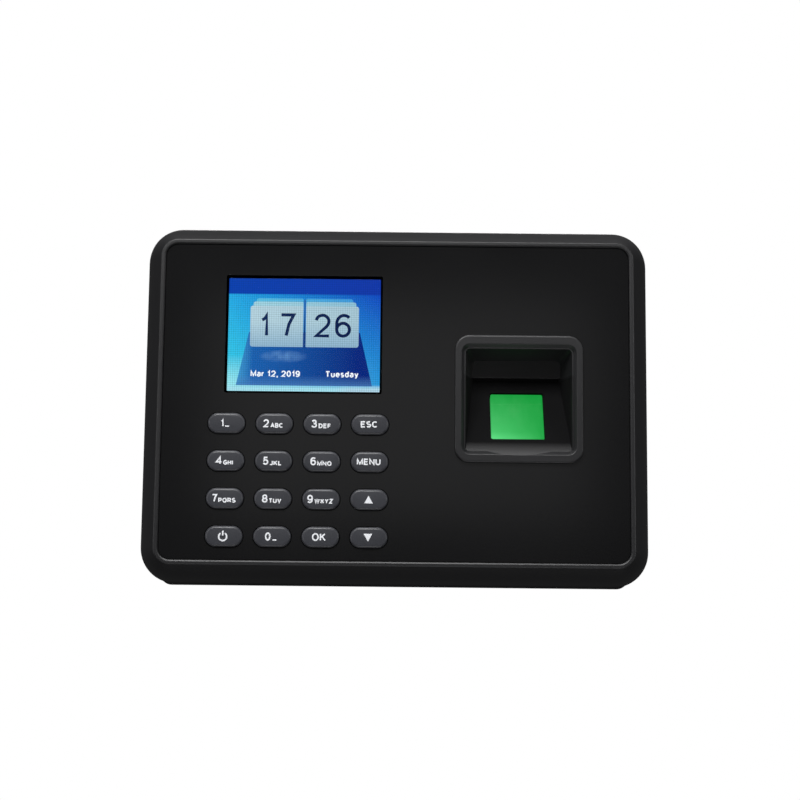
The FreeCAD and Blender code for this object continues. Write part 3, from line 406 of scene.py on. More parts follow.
finishes["window"] = clear_window()
finishes["finger_glass"] = finger_glass()
finishes["lamp"] = Finish("green_lamp", Emission_Strength=1.0, Coat_Weight=0.4)
finishes["lamp"].feed(
    Emission_Color=finishes["lamp"].mix(finishes["lamp"].noise(0.8 * MM),
                                        tint(30, 160, 60), tint(120, 240, 150)),
    Base_Color=tint(180, 230, 190), Roughness=0.2)
print("finger glass is", round((GLASS_HIGH.x - GLASS_LOW.x) / MM, 1), "mm wide")

# %% [markdown]
# ## The light behind the screen
# A colour screen is light passed through a fine grid, so every part of its picture shares one recipe: a
# colour that varies over the picture, dimmed a little by a grid of dark lines. Screen positions are easier
# to think of in millimetres from the picture's top left corner, so two helpers give those.

# %% A recipe for lit parts of the picture
WINDOW_LOW, WINDOW_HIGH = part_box("display_window")
LIT_WIDTH, LIT_HEIGHT = 48.96, 36.72
LIT_LEFT = (WINDOW_LOW.x + WINDOW_HIGH.x) / 2 / MM - LIT_WIDTH / 2
LIT_TOP = (WINDOW_LOW.z + WINDOW_HIGH.z) / 2 / MM + LIT_HEIGHT / 2
GRID_PITCH = 0.72


def lit(name, colour):
    """A lit finish. colour is a function of the finish, of how far right and of how far down."""
    finish = Finish(name, Emission_Strength=1.12, IOR=1.1, Base_Color=(0.0, 0.0, 0.0, 1.0))
    x, z = finish.along("X"), finish.along("Z")
    across, down = x - LIT_LEFT, LIT_TOP - z
    grid = across.wave(GRID_PITCH).ramp(0.7, 1.0) * 0.5 + down.wave(GRID_PITCH).ramp(0.7, 1.0) * 0.5
    grain = finish.noise(0.5 * MM, detail=1.0)
    dimming = grid * 0.44 + (grain - 0.5) * 0.2
    return finish.feed(
        Emission_Color=finish.mix(dimming, colour(finish, across, down), (0.0, 0.02, 0.05, 1.0)),
        Roughness=0.25 + grain * 0.1)


def sky(finish, across, down):
    """The wallpaper: cyan on the left, blue on the right, a dark bar above and a pale one below."""
    rightwards, downwards = across.ramp(0.0, LIT_WIDTH), down.ramp(4.0, LIT_HEIGHT)
    left = finish.mix(downwards, tint(36, 166, 224), tint(58, 208, 226))
    left = finish.mix(down.ramp(25.0, 34.0), left, tint(150, 226, 232))
    right = finish.mix(downwards, tint(16, 66, 186), tint(40, 152, 214))
    field = finish.mix(rightwards.maths("POWER", rightwards, 0.8), left, right)
    shore = finish.mix(down.ramp(34.4, 36.0), field, tint(162, 220, 232))
    glow = finish.mix(across.ramp(34.0, 40.0) * down.ramp(34.6, 36.4), shore, tint(172, 206, 222))
    bar = finish.mix(rightwards, tint(14, 64, 170), tint(20, 54, 164))
    return finish.mix(down < 5.0, glow, bar)


def stand_blue(finish, across, down):
    """The clock's stand: deep blue, lighter at its left flank and along its foot."""
    body = finish.mix(across.ramp(3.0, 42.0), tint(28, 100, 176), tint(7, 36, 122))
    flank = finish.mix(1 - across.ramp(3.6, 8.0), body, tint(60, 146, 200))
    sideways, upwards = (across - 18.0) * (1 / 8.0), (down - 25.4) * (1 / 2.2)
    puff = (1 - (sideways * sideways + upwards * upwards)).ramp(0.0, 1.0)
    cloud = finish.mix(puff * finish.noise(3 * MM).ramp(0.2, 0.7), flank, tint(92, 140, 196))
    return finish.mix(down.ramp(31.5, 35.2) * 0.8, cloud, tint(72, 122, 182))


def card_face(finish, across, down):
    """A card of the clock, greyer to the right and darker towards its foot."""
    upper = finish.mix(across.ramp(8.0, 42.0), tint(178, 206, 216), tint(164, 194, 206))
    return finish.mix(down.ramp(14.0, 23.0), upper, tint(138, 174, 198))


finishes["screen"] = lit("lit_wallpaper", sky)
finishes["stand"] = lit("lit_stand", stand_blue)
finishes["card"] = lit("lit_card", card_face)
BLENDS = {
    "card_middle": ("lit_middle_card", "across", (8, 42), tint(158, 206, 218), tint(140, 188, 208)),
    "card_back": ("lit_back_card", "across", (8, 42), tint(92, 188, 220), tint(60, 148, 214)),
    "hinge": ("lit_hinge", "down", (10, 17), tint(44, 104, 172), tint(22, 60, 124)),
    "navy": ("lit_navy", "across", (8, 42), tint(20, 40, 82), tint(12, 26, 70)),
    "caption": ("lit_white", "down", (29, 33), tint(255, 255, 255), tint(236, 244, 252)),
}
for key, (name, way, span, first, last) in BLENDS.items():
    finishes[key] = lit(name, lambda finish, across, down: finish.mix(
        (across if way == "across" else down).ramp(*span), first, last))
finishes["ink"] = moulded("legend_ink", tint(226, 228, 232), 0.5, grain_size=0.12 * MM, mottle=0.06)
print("the picture is", LIT_WIDTH, "x", LIT_HEIGHT, "mm, from", round(LIT_LEFT, 2), round(LIT_TOP, 2))

# %% [markdown]
# ## Which finish goes where
# The engineering pieces keep their meshes, and only the material in their slots changes. Grouping them by
# finish shows at a glance what each is made of.

# %% Dress the engineering pieces
WEARS = {
    "case": ["front_shell", "rear_case"],
    "panel": ["front_panel"],
    "bezel": ["sensor_bezel"],
    "key": [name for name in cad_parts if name.startswith("key_")],
    "window": ["display_window"],
    "screen": ["display_cell"],
    "foam": ["display_gasket", "sensor_gasket"],
    "tray": ["display_backlight", "speaker_basket"],
    "white": ["display_holder"],
    "ribbon": ["display_flex"],
    "silicone": ["keypad_mat"],
    "board": ["keypad_board", "main_board", "sensor_board"],
    "screw": ["keypad_board_screws", "main_board_screws", "sensor_screws", "case_screws"],
    "ivory": ["ribbon_connector", "main_plugs", "usb_tongue"],
    "nylon": ["board_link", "sensor_housing", "cell_holder", "power_jack"],
    "finger_glass": ["sensor_prism"],
    "lamp": ["sensor_leds"],
    "lens_barrel": ["sensor_camera"],
    "foot": ["rubber_feet"],
    "zinc_plate": ["wall_plate"],
    "chip": ["main_chips"],
    "can": ["main_capacitors"],
    "cell": ["button_cell", "speaker_magnet"],
    "tinned": ["usb_socket", "jack_pin"],
    "paper": ["speaker_cone"],
    "black_lead": ["sensor_cable"],
    "red_lead": ["speaker_lead"],
}
for finish_name, node_names in WEARS.items():
    for node_name in node_names:
        for material_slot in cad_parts[node_name].material_slots:
            material_slot.material = finishes[finish_name].material
dressed = {name for names in WEARS.values() for name in names}
print("undressed:", sorted(set(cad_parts) - dressed) or "none")

# %% [markdown]
# ## Thin printed and lit shapes
# A legend on a key and a card on the screen are both thin plates with an outline. The outline is a list of
# points across the front, in millimetres, and the plate gets a front, a back and a wall round its edge, so
# that it is a closed shape and not a loose face.

# %% Plates
def finish_piece(name, mesh, body, finish):
    """A mesh as a piece that rides on a body."""
    mesh.name = name
    mesh.materials.clear()
    mesh.materials.append(finishes[finish].material)
    piece = bpy.data.objects.new(name, mesh)
    scene.collection.objects.link(piece)
    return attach(piece, body)


def add_plate(form, outline, front, back):
    """Adds a plate to a bmesh. outline goes round in millimetres across the front; front and back are y."""
    rims = [[form.verts.new((x * MM, y * MM, z * MM)) for x, z in outline] for y in (front, back)]
    form.faces.new(rims[0])
    form.faces.new(rims[1][::-1])
    for i, j in zip(range(len(outline)), [*range(1, len(outline)), 0]):
        form.faces.new((rims[0][j], rims[0][i], rims[1][i], rims[1][j]))


def closed(form):
    """The bmesh as a mesh with merged doubles and outward faces."""
    bmesh.ops.remove_doubles(form, verts=form.verts, dist=0.0005 * MM)
    bmesh.ops.recalc_face_normals(form, faces=form.faces)
    mesh = bpy.data.meshes.new("shape")
    form.to_mesh(mesh)
    form.free()
    return mesh


print("finish_piece, add_plate and closed make every flat piece")

# %% [markdown]
# ## An alphabet drawn with one pen
# Legends this small are drawn with strokes of one width. So each letter here is a few paths for a pen, in a
# box one unit tall, and writing it means giving the paths a width. A path is a list of points; four numbers
# after an "arc" are its centre and its two radii, and two more its start and end in degrees. Sharp corners
# are mitred, as a cutter would leave them.

# %% The paths of the pen
def arc(x, z, wide, tall, start, end, steps=14):
    turns = [math.radians(start + (end - start) * i / steps) for i in range(steps + 1)]
    return [(x + wide * math.cos(t), z + tall * math.sin(t)) for t in turns]


ROUND = arc(0.38, 0.5, 0.38, 0.5, 90, -270, 24)
GLYPHS = {
    "0": (0.58, [arc(0.29, 0.5, 0.29, 0.5, 90, -270, 22)]),
    "1": (0.34, [[(0.0, 0.74), (0.16, 0.82), (0.27, 1.0), (0.27, 0.0)]]),
    "2": (0.62, [arc(0.31, 0.70, 0.30, 0.30, 170, -20, 12) + [(0.5, 0.45), (0.02, 0.0), (0.62, 0.0)]]),
    "3": (0.58, [arc(0.27, 0.75, 0.25, 0.25, 160, -80, 12) + arc(0.28, 0.27, 0.28, 0.27, 85, -165, 14)]),
    "4": (0.66, [[(0.66, 0.25), (0.0, 0.25), (0.48, 1.0), (0.48, 0.0)]]),
    "5": (0.58, [[(0.54, 1.0), (0.12, 1.0), (0.05, 0.5)] + arc(0.28, 0.32, 0.29, 0.32, 130, -160, 16)]),
    "6": (0.60, [arc(0.35, 0.6, 0.33, 0.4, 45, 180, 12) + arc(0.31, 0.31, 0.29, 0.31, 180, 540, 22)]),
    "7": (0.58, [[(0.0, 1.0), (0.58, 1.0), (0.36, 0.55), (0.24, 0.0)]]),
    "8": (0.58, [arc(0.29, 0.75, 0.24, 0.25, -90, 270, 20), arc(0.29, 0.26, 0.29, 0.26, 90, 450, 20)]),
    "9": (0.60, [arc(0.25, 0.4, 0.33, 0.4, 225, 360, 12) + arc(0.29, 0.69, 0.29, 0.31, 0, 360, 22)]),
    "A": (0.76, [[(0.0, 0.0), (0.38, 1.0), (0.76, 0.0)], [(0.14, 0.33), (0.62, 0.33)]]),
    "B": (0.62, [[(0.36, 0.52), (0.0, 0.52), (0.0, 1.0)] + arc(0.36, 0.76, 0.2, 0.24, 90, -90, 8)
                 + arc(0.36, 0.26, 0.25, 0.26, 90, -90, 8) + [(0.0, 0.0), (0.0, 0.52)]]),
    "C": (0.70, [arc(0.38, 0.5, 0.38, 0.5, 42, 318, 18)]),
    "D": (0.68, [[(0.0, 0.0), (0.0, 1.0)] + arc(0.28, 0.5, 0.4, 0.5, 90, -90, 12) + [(0.0, 0.0)]]),
    "E": (0.56, [[(0.56, 1.0), (0.0, 1.0), (0.0, 0.0), (0.56, 0.0)], [(0.0, 0.52), (0.5, 0.52)]]),
    "F": (0.54, [[(0.54, 1.0), (0.0, 1.0), (0.0, 0.0)], [(0.0, 0.5), (0.46, 0.5)]]),
    "G": (0.72, [arc(0.38, 0.5, 0.38, 0.5, 45, 325, 18) + [(0.72, 0.46), (0.4, 0.46)]]),
    "H": (0.64, [[(0.0, 0.0), (0.0, 1.0)], [(0.64, 0.0), (0.64, 1.0)], [(0.0, 0.5), (0.64, 0.5)]]),
    "I": (0.04, [[(0.02, 0.0), (0.02, 1.0)]]),
    "J": (0.44, [[(0.44, 1.0), (0.44, 0.25)] + arc(0.22, 0.25, 0.22, 0.25, 0, -170, 10)]),
    "K": (0.64, [[(0.0, 0.0), (0.0, 1.0)], [(0.6, 1.0), (0.04, 0.42)], [(0.2, 0.58), (0.64, 0.0)]]),
    "L": (0.50, [[(0.0, 1.0), (0.0, 0.0), (0.5, 0.0)]]),
    "M": (0.80, [[(0.0, 0.0), (0.0, 1.0), (0.4, 0.1), (0.8, 1.0), (0.8, 0.0)]]),
    "N": (0.66, [[(0.0, 0.0), (0.0, 1.0), (0.66, 0.0), (0.66, 1.0)]]),
    "O": (0.76, [ROUND]),
    "P": (0.60, [[(0.0, 0.0), (0.0, 1.0)] + arc(0.32, 0.72, 0.27, 0.28, 90, -90, 10) + [(0.0, 0.44)]]),
    "Q": (0.76, [ROUND, [(0.46, 0.26), (0.74, -0.04)]]),
    "R": (0.64, [[(0.0, 0.0), (0.0, 1.0)] + arc(0.33, 0.73, 0.27, 0.27, 90, -90, 10) + [(0.0, 0.46)],
                 [(0.34, 0.46), (0.64, 0.0)]]),
    "S": (0.60, [arc(0.29, 0.75, 0.27, 0.25, 40, 250, 14) + arc(0.3, 0.26, 0.3, 0.26, 75, -145, 14)]),
    "T": (0.62, [[(0.31, 0.0), (0.31, 1.0)], [(0.0, 1.0), (0.62, 1.0)]]),
    "U": (0.64, [[(0.0, 1.0), (0.0, 0.32)] + arc(0.32, 0.32, 0.32, 0.32, 180, 360, 14) + [(0.64, 1.0)]]),
    "V": (0.70, [[(0.0, 1.0), (0.35, 0.0), (0.7, 1.0)]]),
    "W": (1.00, [[(0.0, 1.0), (0.25, 0.0), (0.5, 0.96), (0.75, 0.0), (1.0, 1.0)]]),
    "X": (0.68, [[(0.0, 0.0), (0.68, 1.0)], [(0.0, 1.0), (0.68, 0.0)]]),
    "Y": (0.68, [[(0.0, 1.0), (0.34, 0.46), (0.68, 1.0)], [(0.34, 0.46), (0.34, 0.0)]]),
    "Z": (0.62, [[(0.0, 1.0), (0.62, 1.0), (0.0, 0.0), (0.62, 0.0)]]),
    "_": (0.66, [[(0.0, 0.06), (0.66, 0.06)]]),
    "a": (0.46, [arc(0.25, 0.5, 0.21, 0.21, 150, 0, 8) + [(0.46, 0.0)],
                 arc(0.21, 0.2, 0.21, 0.2, 60, 360, 14)]),
    "d": (0.48, [[(0.48, 1.06), (0.48, 0.0)], arc(0.23, 0.35, 0.23, 0.35, 0, 360, 16)]),
    "e": (0.50, [[(0.02, 0.37), (0.5, 0.37)] + arc(0.25, 0.35, 0.25, 0.35, 5, 315, 16)]),
    "r": (0.28, [[(0.0, 0.0), (0.0, 0.7)], arc(0.26, 0.4, 0.26, 0.28, 180, 85, 8)]),
    "s": (0.40, [arc(0.2, 0.53, 0.18, 0.18, 40, 250, 10) + arc(0.2, 0.18, 0.2, 0.18, 75, -145, 10)]),
    "u": (0.46, [[(0.0, 0.7), (0.0, 0.24)] + arc(0.23, 0.24, 0.23, 0.24, 180, 360, 10) + [(0.46, 0.7)],
                 [(0.46, 0.3), (0.46, 0.0)]]),
    "y": (0.48, [[(0.0, 0.7), (0.24, 0.02)], [(0.48, 0.7), (0.2, -0.14), (0.04, -0.24)]]),
    ",": (0.08, [[(0.08, 0.08), (0.0, -0.26)]]),
    " ": (0.10, []),
}
print(len(GLYPHS), "glyphs, of", sum(len(paths) for _, paths in GLYPHS.values()), "strokes")

# %% [markdown]
# ### Giving the paths a width
# At every point of a path the pen's edges lie to its left and right, square to the path, and at a corner
# they lie on the corner's bisector, a little further out. Joining neighbours with flat quads gives the front
# and back of the stroke. Words are laid out at their natural width and then stretched to the measured one.

# %% Write with the pen
def stroke_sides(points, pen):
    """The left and right edges of a stroke, and whether it closes on itself."""
    path = [Vector(p) for p in points]
    path = [p for i, p in enumerate(path) if not i or (p - path[i - 1]).length > 0.02 * pen]
    ring = (path[0] - path[-1]).length < 0.05 * pen
    if ring:
        path.pop()
    count, sides = len(path), []
    for i, here in enumerate(path):
        ways = []
        if ring or i:
            ways.append((here - path[i - 1]).normalized())
        if ring or i < count - 1:
            ways.append((path[(i + 1) % count] - here).normalized())
        along = (ways[0] + ways[-1]).normalized()
        across = Vector((-along.y, along.x)) * min(1 / max(along.dot(ways[0]), 0.3), 2.2)
        sides.append((here + across * pen / 2, here - across * pen / 2))
    return sides, ring


def add_stroke(form, points, pen, front, back):
    """Adds one stroke to a bmesh as a closed ribbon with a thickness."""
    sides, ring = stroke_sides(points, pen)
    cuts = [[form.verts.new((p.x * MM, y * MM, p.y * MM)) for y in (front, back) for p in pair]
            for pair in sides]
    for this, after in zip(cuts, cuts[1:] + cuts[:1] if ring else cuts[1:]):
        for a, b in ((0, 1), (1, 3), (3, 2), (2, 0)):
            form.faces.new((this[a], this[b], after[b], after[a]))
    if not ring:
        for end in (cuts[0], cuts[-1]):
            form.faces.new((end[0], end[1], end[3], end[2]))


def add_words(form, text, left, width, base, cap, pen, front, back):
    """Adds words to a bmesh. left, width, base, cap height and pen are in millimetres."""
    gap = 0.13 + pen / cap
    natural = sum(GLYPHS[letter][0] for letter in text) + gap * (len(text) - 1)
    widen = (width - pen) / natural
    x = left + pen / 2
    for letter in text:
        wide, paths = GLYPHS[letter]
        for path in paths:
            add_stroke(form, [(x + px * widen, base + pen / 2 + pz * (cap - pen)) for px, pz in path],
                       pen, front, back)
        x += (wide + gap) * widen


trial = bmesh.new()
add_words(trial, "OK", 0, 4, 0, 2, 0.4, 0, 1)
print("two letters take", len(trial.faces), "faces")
trial.free()

# %% [markdown]
# ## The picture on the screen
# The picture is a flip clock: a stand, two stacks of cards with rounded corners, four thin figures, and the
# day and date. It could be painted by one shader, but shapes with corners and letters are crisper as thin
# plates, stacked a few hundredths of a millimetre apart just in front of the screen's glass.

# %% Build the clock
SCREEN_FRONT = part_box("display_cell")[0].y / MM
LAYER = 0.03


def on_screen(across, down):
    """A point of the picture, from its top left corner, as a point across the front."""
    return LIT_LEFT + across, LIT_TOP - down


def rounded_outline(left, top, right, bottom, radii, steps=6):
    """A rectangle on the screen with its own radius at each corner, clockwise from the top left."""
    centres = ((left, top, 1, 1, 180), (right, top, -1, 1, 270),
               (right, bottom, -1, -1, 0), (left, bottom, 1, -1, 90))
    points = []
    for (x, y, sx, sy, start), radius in zip(centres, radii):
        for i in range(steps + 1):
            turn = math.radians(start + 90 * i / steps)
            points.append((x + radius * (sx + math.cos(turn)), y + radius * (sy + math.sin(turn))))
    return [on_screen(*p) for p in points]


def screen_plates(name, outlines, layer, finish):
    """One lit piece of the picture, made of plates at one height above the glass."""
    form = bmesh.new()
    for outline in outlines:
        add_plate(form, outline, SCREEN_FRONT - layer * LAYER, SCREEN_FRONT - (layer - 0.8) * LAYER)
    return finish_piece(name, closed(form), "terminal", finish)


STAND = ((6.6, 17.5), (42.5, 17.5), (46.6, 34.9), (2.7, 34.9))
screen_plates("clock_stand", [[on_screen(*corner) for corner in STAND]], 1, "stand")
STEPS = (("back", 8.9, 40.2, 6.4, 2), ("middle", 7.9, 41.2, 7.5, 3), ("front", 7.0, 42.1, 8.9, 4))
CARD_GAP, CARD_FOOT, CARD_R = (24.1, 25.0), 22.3, 0.75
for level, left, right, top, layer in STEPS:
    outlines = [rounded_outline(left, top, CARD_GAP[0], CARD_FOOT, (CARD_R, CARD_R * 0.6, 0.2, CARD_R)),
                rounded_outline(CARD_GAP[1], top, right, CARD_FOOT, (CARD_R * 0.6, CARD_R, CARD_R, 0.2))]
    screen_plates("clock_cards_" + level, outlines, layer, {"front": "card"}.get(level, "card_" + level))
screen_plates("clock_hinge", [rounded_outline(24.25, 6.9, 24.85, 22.6, (0.1,) * 4)], 2, "hinge")


def screen_words(name, words, finish):
    """One lit piece of lettering. words are text, left edge, width, baseline, cap height and pen."""
    form = bmesh.new()
    for text, left, width, base, cap, pen in words:
        x, z = on_screen(left, base)
        add_words(form, text, x, width, z, cap, pen, SCREEN_FRONT - 5 * LAYER, SCREEN_FRONT - 4.2 * LAYER)
    return finish_piece(name, closed(form), "terminal", finish)


screen_words("clock_figures", [("1", 10.3, 2.9, 19.1, 7.8, 1.02), ("7", 16.5, 5.0, 19.1, 7.8, 1.02),
                               ("2", 27.7, 5.3, 19.1, 7.8, 1.02), ("6", 34.3, 5.3, 19.1, 7.8, 1.02)], "navy")
screen_words("clock_date", [("Mar 12, 2019", 7.4, 16.0, 32.1, 2.05, 0.42),
                            ("Tuesday", 31.5, 10.7, 32.1, 2.05, 0.42)], "caption")

# %% [markdown]
# ## The legends on the keys
# Each key carries its figure and the letters that telephones use, printed in white ink. The key's face is
# the cap of a ball, so a flat print would sink at one end and float at the other. A legend is first sliced
# into small pieces, then every point is moved back by the ball's own sag. The ink stands two hundredths
# of a millimetre proud and dips as deep into the key, so no gap shows at its edge.

# %% Print the legends
CROWN_R = 32.0
INK_PROUD, INK_DEEP, INK_SLICE = 0.02, 0.03, 0.5
FIGURE, LETTERS, WORD = (-1.28, 2.6, 0.48), (-1.42, 1.55, 0.38), (-1.04, 2.08, 0.46)
LEGENDS = {
    "key_1": [("1", -1.67, 1.0, *FIGURE), ("_", -0.5, 1.65, -1.3, 1.0, 0.42)],
    "key_2": [("2", -3.5, 1.9, *FIGURE), ("ABC", -1.15, 4.0, *LETTERS)],
    "key_3": [("3", -3.4, 1.85, *FIGURE), ("DEF", -1.1, 4.0, *LETTERS)],
    "key_4": [("4", -3.05, 2.1, *FIGURE), ("GHI", -0.65, 3.15, *LETTERS)],
    "key_5": [("5", -3.35, 1.8, *FIGURE), ("JKL", -1.15, 3.8, *LETTERS)],
    "key_6": [("6", -3.55, 1.85, *FIGURE), ("MNO", -1.35, 4.6, *LETTERS)],
    "key_7": [("7", -4.0, 1.75, *FIGURE), ("PQRS", -1.95, 5.55, *LETTERS)],
    "key_8": [("8", -3.4, 1.85, *FIGURE), ("TUV", -1.2, 4.0, *LETTERS)],
    "key_9": [("9", -4.3, 1.85, *FIGURE), ("WXYZ", -2.05, 5.9, *LETTERS)],
    "key_0": [("0", -2.15, 1.8, *FIGURE), ("_", 0.0, 1.65, -1.3, 1.0, 0.42)],
    "key_escape": [("ESC", -2.95, 5.35, *WORD)],
    "key_menu": [("MENU", -4.05, 7.6, *WORD)],
    "key_ok": [("OK", -2.6, 4.4, -1.24, 2.5, 0.46)],
}
TRIANGLE = ((-1.38, -1.2), (1.38, -1.2), (0.0, 1.25))
SHAPES = {"key_up": [[(x - 0.15, z) for x, z in TRIANGLE]],
          "key_down": [[(-x - 0.2, -z) for x, z in TRIANGLE]]}


POWER_X, POWER_Z, POWER_PEN = -0.2, -0.15, 0.5
STROKES = {"key_power": [[(POWER_X + x, POWER_Z + z) for x, z in arc(0, 0, 1.25, 1.25, 125, 415, 30)],
                         [(POWER_X, POWER_Z + 0.35), (POWER_X, POWER_Z + 1.85)]]}


def print_legend(key_name):
    """The ink on one key, bent to its crown."""
    low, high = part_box(key_name)
    centre_x, centre_z, top = (low.x + high.x) / 2 / MM, (low.z + high.z) / 2 / MM, low.y / MM
    form, ink = bmesh.new(), (top - INK_PROUD, top + INK_DEEP)
    for text, left, width, base, cap, pen in LEGENDS.get(key_name, []):
        add_words(form, text, centre_x + left, width, centre_z + base, cap, pen, *ink)
    for path in STROKES.get(key_name, []):
        add_stroke(form, [(centre_x + x, centre_z + z) for x, z in path], POWER_PEN, *ink)
    for outline in SHAPES.get(key_name, []):
        add_plate(form, [(centre_x + x, centre_z + z) for x, z in outline], *ink)
    for across, middle, reach in ((Vector((1, 0, 0)), centre_x, 6), (Vector((0, 0, 1)), centre_z, 3)):
        for i in range(int(-reach / INK_SLICE), int(reach / INK_SLICE) + 1):
            bmesh.ops.bisect_plane(form, geom=form.verts[:] + form.edges[:] + form.faces[:],
                                   plane_co=across * (middle + i * INK_SLICE) * MM, plane_no=across)
    for vertex in form.verts:
        away = (vertex.co.x / MM - centre_x) ** 2 + (vertex.co.z / MM - centre_z) ** 2
        vertex.co.y += (CROWN_R - math.sqrt(CROWN_R ** 2 - away)) * MM
    return finish_piece("legend_" + key_name, closed(form), key_name + "_body", "ink")


legends = [print_legend(name) for name in [*LEGENDS, *STROKES, *SHAPES]]
print(len(legends), "legends, of", sum(len(o.data.polygons) for o in legends), "faces")

# %% [markdown]
# ## Contacts and legs
# Metal strips in rows repeat exactly, which is what Geometry Nodes are for. One tree makes a row: it sweeps
# a flat section along a bent line, from the root of the strip to its foot, and copies it at a fixed step.
# The same tree makes the USB socket's four contacts and the legs of the chips; only its inputs change.

# %% A tree for rows of bent strips
def strip_row_tree():
    tree = bpy.data.node_groups.new("strip_row", "GeometryNodeTree")
    face = tree.interface
    face.new_socket("Geometry", in_out="OUTPUT", socket_type="NodeSocketGeometry")
    for name, kind in (("Count", "Int"), ("Root", "Vector"), ("Bend", "Vector"), ("Foot", "Vector"),
                       ("Step", "Vector"), ("Width", "Float"), ("Thickness", "Float"), ("Finish", "Material")):
        face.new_socket(name, in_out="INPUT", socket_type="NodeSocket" + kind)
    given = tree.nodes.new("NodeGroupInput").outputs

    def add(kind, links, output=0):
        made = tree.nodes.new(kind)
        for name, value in links.items():
            if isinstance(value, bpy.types.NodeSocket):
                tree.links.new(value, made.inputs[name])
            else:
                made.inputs[name].default_value = value
        return made.outputs[output]

    spine = add("GeometryNodeCurveQuadraticBezier", {
        "Resolution": 6, "Start": given["Root"], "Middle": given["Bend"], "End": given["Foot"]})
    section = add("GeometryNodeCurvePrimitiveQuadrilateral", {
        "Width": given["Width"], "Height": given["Thickness"]})
    strip = add("GeometryNodeCurveToMesh", {"Curve": spine, "Profile Curve": section, "Fill Caps": True})
    row = add("GeometryNodeMeshLine", {"Count": given["Count"], "Offset": given["Step"]})
    copies = add("GeometryNodeInstanceOnPoints", {"Points": row, "Instance": strip})
    solid = add("GeometryNodeRealizeInstances", {"Geometry": copies})
    named = add("GeometryNodeSetMaterial", {"Geometry": solid, "Material": given["Finish"]})
    tree.links.new(named, tree.nodes.new("NodeGroupOutput").inputs[0])
    return tree


def run_tree(tree, inputs):
    """The mesh that a tree makes for these inputs."""
    holder = bpy.data.objects.new("holder", bpy.data.meshes.new("holder"))
    modifier = holder.modifiers.new("rows", "NODES")
    modifier.node_group = tree
    for item in tree.interface.items_tree:
        if item.in_out == "INPUT":
            modifier[item.identifier] = inputs[item.name]
    scene.collection.objects.link(holder)
    mesh = bpy.data.meshes.new_from_object(holder.evaluated_get(bpy.context.evaluated_depsgraph_get()))
    bpy.data.objects.remove(holder)
    return mesh


STRIP_ROW = strip_row_tree()
print("tree inputs:", [i.name for i in STRIP_ROW.interface.items_tree if i.in_out == "INPUT"])

# %% [markdown]
# ### Where the rows go
# The USB contacts lie on the side of the tongue that faces the plug's own contacts, each bowed so that it
# springs. A chip's legs leave the middle of its flanks and bend down to the board. Places come from the
# pieces' own boxes, so nothing here repeats a number of the engineering model.

# %% Lay the rows
def rows_piece(name, rows, finish):
    """Several rows of strips joined into one piece of the terminal."""
    form = bmesh.new()
    for row in rows:
        mesh = run_tree(STRIP_ROW, {**row, "Finish": finishes[finish].material})
        form.from_mesh(mesh)
        bpy.data.meshes.remove(mesh)
    return finish_piece(name, closed(form), "terminal", finish)


def usb_rows():
    low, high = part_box("usb_tongue")
    middle = (low.x + high.x) / 2
    face_y = low.y + 2.4 * MM
    pitch = 2.25 * MM
    root = Vector((middle - 1.5 * pitch, face_y, low.z + 9.6 * MM))
    foot = root + Vector((0, 0, -8.2 * MM))
    bow = (root + foot) / 2 + Vector((0, 0.7 * MM, 0))
    return [dict(Count=4, Root=root, Bend=bow, Foot=foot, Step=Vector((pitch, 0, 0)),
                 Width=1.1 * MM, Thickness=0.2 * MM)]


def separate_solids(node_name):
    """The box of each separate solid of a node, from a copy of its mesh with the doubles merged."""
    form = bmesh.new()
    form.from_mesh(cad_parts[node_name].data)
    bmesh.ops.remove_doubles(form, verts=form.verts, dist=0.001 * MM)
    left, boxes = set(form.verts), []
    while left:
        group, edge = set(), [left.pop()]
        while edge:
            vertex = edge.pop()
            group.add(vertex)
            near = {e.other_vert(vertex) for e in vertex.link_edges} & left
            left -= near
            edge.extend(near)
        points = [v.co.copy() for v in group]
        boxes.append([Vector(pick(p[i] for p in points) for i in range(3)) for pick in (min, max)])
    form.free()
    return boxes


def chip_rows():
    rows = []
    for low, high in separate_solids("main_chips"):
        width, tall = high.x - low.x, high.z - low.z
        if high.y - low.y > 2.4 * MM:
            continue
        pitch = 0.8 * MM if width > 8 * MM else 1.27 * MM
        sides = [(high.x, 1, 0, tall), (low.x, -1, 0, tall), (high.z, 0, 1, width), (low.z, 0, -1, width)]
        for edge, across, upward, run in sides[:4 if width > 8 * MM else 2]:
            count = max(2, int(run / pitch) - 1)
            start = -(count - 1) / 2 * pitch
            middle = (low + high) / 2
            root = Vector((edge if across else middle.x + start, low.y + 0.55 * MM,
                           edge if upward else middle.z + start))
            out = Vector((across, 0, upward)) * 0.9 * MM
            step = Vector((0, 0, pitch)) if across else Vector((pitch, 0, 0))
            rows.append(dict(Count=count, Root=root, Bend=root + out * 0.8, Step=step,
                             Foot=root + out + Vector((0, -0.52 * MM, 0)),
                             Width=0.36 * MM, Thickness=0.12 * MM))
    return rows


usb_contacts = rows_piece("usb_contacts", usb_rows(), "gold")
chip_legs = rows_piece("chip_legs", chip_rows(), "tinned")
print("contacts:", len(usb_contacts.data.polygons), "faces; legs:", len(chip_legs.data.polygons), "faces")

# %% [markdown]
# ## The studio
# A black object is seen by what it reflects. Two boxes stand to the left and right of the camera: they light
# the ink and the keys, and draw the fine lines along the lip and the sensor's frame, but stay outside what
# the flat panel mirrors. The panel itself mirrors only a small card beside the camera, which gives it a
# soft glow in the middle. The strongest box stands high in front, so the sensor's well keeps its shadows.
# Others light the top slope, the bottom slope and the back. The floor glows white to the eye alone, and
# is kept out of reflections and bounced light, so that it doesn't turn the lower slope white.

# %% Floor, backdrop and lights
FLOOR_DROP, FLOOR_SIZE = 1.0, 8.0
AMBIENT = 0.055


